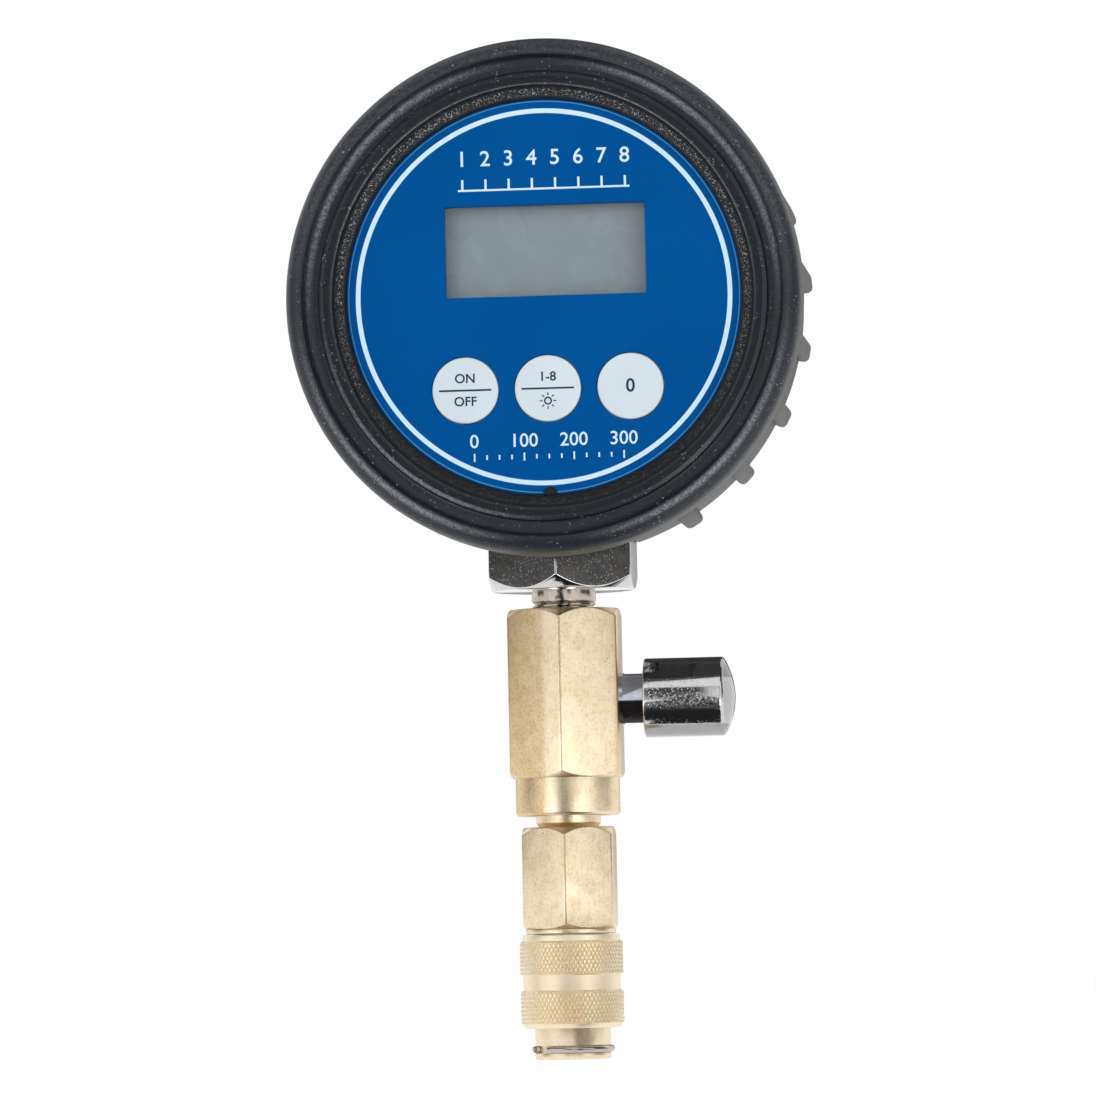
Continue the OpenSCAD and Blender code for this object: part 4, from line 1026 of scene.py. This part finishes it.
# %% Diamonds from the squares
BAND_LOW, GROOVE, LARGEST = (BAND_R - 0.02) * MM, 0.13 * MM, 0.8e-6
band_faces = set(squares)
inner_edges = [e for e in {e for f in squares for e in f.edges} if all(f in band_faces for f in e.link_faces)]
bmesh.ops.poke(sleeve, faces=squares)
bmesh.ops.dissolve_edges(sleeve, edges=inner_edges, use_verts=False)
diamonds = [f for f in sleeve.faces if all(r > BAND_LOW for r in radii(f)) and len(f.verts) in (3, 4)
            and f.calc_area() < LARGEST and abs(f.normal.z) < 0.3]
bmesh.ops.inset_individual(sleeve, faces=diamonds, thickness=GROOVE,
                           depth=(DIAMOND_R - BAND_R) * MM, use_even_offset=True)
print("knurl:", len(diamonds), "diamonds")
finish_piece(sleeve, "knurled_sleeve", "sleeve", brass_knurl, "brass", ["coupler_sleeve"], sharp=25)

# %% [markdown]
# ## The snap ring
# A snap ring is a bent wire with a gap, so a full turn would be wrong. A circle is
# spun through less than a full turn, and two small insets round each cut end.

# %% Snap ring with rounded ends
WIRE_R, RING_R, RING_Z = 0.535, 5.88, 1.55
RING_START, RING_SWEEP = 219 + 12.5 + 4, 335 - 8
ring = bmesh.new()
bmesh.ops.create_circle(ring, cap_ends=True, segments=16, radius=WIRE_R * MM)
place(ring, about("Z", RING_START) @ at(RING_R, 0, RING_Z) @ about("X", 90))
wind(ring, ring.faces[:], RING_SWEEP / 360, 96)
ends = [f for f in ring.faces if len(f.verts) > 4]
for size in (0.12, 0.16):
    bmesh.ops.inset_individual(ring, faces=ends, thickness=size * MM, depth=0.14 * MM)
bmesh.ops.recalc_face_normals(ring, faces=ring.faces[:])
finish_piece(ring, "snap_ring_wire", "tester", steel_wire, "steel", ["snap_ring"], sharp=50)

# %% [markdown]
# ## Springs
# Three springs take the places of the CAD springs. Each is a circle spun along a helix.
# The springs of the button and the lock collar get meshes of their own. The sleeve's
# spring crosses from the coupler to the sleeve, so it gets no body.

# %% Coils
RINGS_A_TURN = 20


def coil(radius, wire, start, end, turns):
    """A round wire of a radius in mm, wound from start to end along Z."""
    bm = bmesh.new()
    bmesh.ops.create_circle(bm, cap_ends=True, segments=8, radius=wire * MM)
    place(bm, at(radius, 0, start + wire) @ about("X", 90))
    wind(bm, bm.faces[:], turns, turns * RINGS_A_TURN, end - start - 2 * wire)
    bmesh.ops.recalc_face_normals(bm, faces=bm.faces[:])
    return bm


release = place(coil(2.35, 0.3, 9.55, 19.25, 6), BUTTON)
release = finish_piece(release, "release_coil", "tester", steel, "steel", ["release_spring"], sharp=60)
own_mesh(release)
collar = coil(3.95, 0.2, 11.25, 17.45, 5)
collar = finish_piece(collar, "collar_coil", "tester", steel, "steel", ["collar_spring"], sharp=60)
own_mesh(collar)
stretched = coil(6.43, 0.28, 11.65, 19.25, 5)
stretched = finish_piece(stretched, "sleeve_coil", None, steel, "steel", ["sleeve_spring"], sharp=60)
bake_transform(stretched)

# %% [markdown]
# ## Floor, light and camera
# A photograph of metal is mostly a photograph of what stands round it. Here the
# background is white for the camera, and reflections see a plain studio: a soft box
# on each side in front, a narrow one in the middle, one panel above, white behind
# and below, and darkness between them. The studio is mapped by two angles, round the
# tester from the camera's side and up from the level. Low on the floor are two bright
# reflectors, which draw the streaks on the rubber. The lamps are large and soft and
# don't show in reflections, because the studio map already holds their shapes.

# %% World
DEGREES = 180 / math.pi
STUDIO_TURN = 5.4
world = bpy.data.worlds.new("studio")
scene.world = world
world.use_nodes = True
sky = Graph(world.node_tree)
x, y, z = sky.axes(sky.node("TexCoord", out="Generated"))
turn = sky.node("Math", {"operation": "ARCTAN2"}, {0: x, 1: 0 - y}) * DEGREES - STUDIO_TURN
height = sky.node("Math", {"operation": "ARCSINE"}, {0: z}) * DEGREES
off_centre = turn.size()
left_box, right_box = turn.band(-78, -24, 3) * 0.95, turn.band(25, 62, 3) * 1.05
boxes = (left_box + right_box) * height.band(-60, 34, 8)
middle = turn.band(-5, 12, 2) * height.band(-10, 26, 4)
panel = height.band(27, 58, 1.5) * (1 - off_centre.rise(22, 30))
behind = off_centre.rise(107, 111) * (1 - off_centre.rise(158, 166))
below = 1 - height.rise(-80, -62)
white = 1 - (1 - panel) * (1 - behind) * (1 - below)
studio = boxes + white * 0.95 + middle * 0.85 + 0.07
rays = sky.node("LightPath").socket.node
seen = Value(sky, rays.outputs["Is Camera Ray"]) + Value(sky, rays.outputs["Is Transmission Ray"])
glossy = Value(sky, rays.outputs["Is Glossy Ray"])
strength = seen + (1 - seen) * (glossy * studio + (1 - glossy) * 0.25)
light = sky.node("Background", None, {"Color": (1, 1, 1, 1), "Strength": strength})
sky.node("OutputWorld", None, {"Surface": light})
print("studio map:", len(world.node_tree.nodes), "nodes")

# %% Floor
FLOOR_R, FLOOR_DROP = 3.0, -0.0002
ground = bmesh.new()
bmesh.ops.create_circle(ground, cap_ends=True, segments=48, radius=FLOOR_R)
bmesh.ops.translate(ground, vec=(0, 0, FLOOR_DROP), verts=ground.verts[:])
floor = as_object(ground, "floor")
paper = Finish("floor_white")
tooth = paper.grain(300, 2)
whites = paper.mix(tooth, (0.88, 0.88, 0.88, 1), (0.9, 0.9, 0.9, 1))
plain = paper.node("BsdfDiffuse", None, {"Color": whites})
paths = paper.node("LightPath").socket.node
camera_ray, glossy_ray, clear_ray = (Value(paper, paths.outputs["Is " + kind + " Ray"])
                                     for kind in ("Camera", "Glossy", "Transmission"))
across, along, level = paper.axes(paper.place)
reflector = across.size().band(0.07, 0.15, 0.015) * along.band(-0.25, -0.11, 0.02)
glow = paper.node("Emission", None, {"Color": (1, 1, 1, 1), "Strength": 1.06 + glossy_ray * reflector * 5})
share = (camera_ray + glossy_ray + clear_ray) * 0.93
paper.node("OutputMaterial", None, {"Surface": paper.node("MixShader", None, {0: share, 1: plain, 2: glow})})
floor.data.materials.append(paper.material)
print("floor:", floor.name)

# %% Lamps
def soft_lamp(name, spot, size, power):
    """A square lamp, aimed at the middle of the tester."""
    data = bpy.data.lights.new(name, "AREA")
    data.shape, data.size, data.energy = "SQUARE", size, power
    lamp = bpy.data.objects.new(name, data)
    lamp.location = spot
    towards = Vector((0, 0, 0.09)) - Vector(spot)
    lamp.rotation_euler = towards.to_track_quat("-Z", "Y").to_euler()
    lamp.visible_glossy = False
    scene.collection.objects.link(lamp)


soft_lamp("lamp_left", (-0.75, -0.75, 0.45), 0.5, 5.0)
soft_lamp("lamp_right", (0.8, -0.6, 0.35), 0.5, 4.2)
soft_lamp("lamp_low", (0.05, -0.9, 0.02), 0.4, 2.2)
soft_lamp("lamp_back", (0.1, 0.9, 0.6), 0.6, 5.0)
print("lamps:", len(bpy.data.lights))

# %% Dark cloth in front, which only reflections see
CLOTH_Z = 0.4
cloth = bmesh.new()
strips = ((2, 36, -8, -30), (-15, 2, -21, -30), (-50, 50, -30, -500), (-320, 60, -500, -2900))
for left, right, near, far in strips:
    made = bmesh.ops.create_grid(cloth, x_segments=1, y_segments=1, size=0.5)["verts"]
    spread = Matrix.Diagonal(((right - left) * MM, (near - far) * MM, 1, 1))
    spot = at((left + right) / 2, (near + far) / 2, CLOTH_Z)
    bmesh.ops.transform(cloth, matrix=spot @ spread, verts=made)
flag = as_object(cloth, "dark_cloth")
velvet = Finish("velvet")
pile = velvet.mix(velvet.grain(800, 2), srgb(28, 28, 30), srgb(40, 40, 42))
flag.data.materials.append(velvet.surface(Base_Color=pile, Roughness=0.9))
for hidden in ("camera", "diffuse", "transmission", "shadow"):
    setattr(flag, "visible_" + hidden, False)
print("dark cloth:", len(flag.data.polygons), "strips")

# %% Camera at the photograph's place
PHOTO_PX, FOCAL_PX, SENSOR_MM = 1096, 6970.3, 36
CAMERA_AT = (0.1008, -1.0727, 0.0165)
yaw, pitch, roll = (math.radians(a) for a in (5.49, 3.32, -1.23))
ahead = Vector((-math.sin(yaw) * math.cos(pitch), math.cos(yaw) * math.cos(pitch), math.sin(pitch)))
right = Vector((math.cos(yaw), math.sin(yaw), 0))
above = right.cross(ahead)
tilted_right = right * math.cos(roll) + above * math.sin(roll)
tilted_up = above * math.cos(roll) - right * math.sin(roll)
lens = bpy.data.cameras.new("camera")
lens.sensor_width, lens.lens = SENSOR_MM, FOCAL_PX / PHOTO_PX * SENSOR_MM
lens.clip_start, lens.clip_end = 0.01, 50
camera = bpy.data.objects.new("camera", lens)
facing = Matrix((tilted_right, tilted_up, -ahead)).transposed().to_4x4()
camera.matrix_world = Matrix.Translation(CAMERA_AT) @ facing
scene.collection.objects.link(camera)
scene.camera = camera
scene.view_settings.view_transform = "Standard"
print("camera lens in mm:", round(lens.lens, 1))
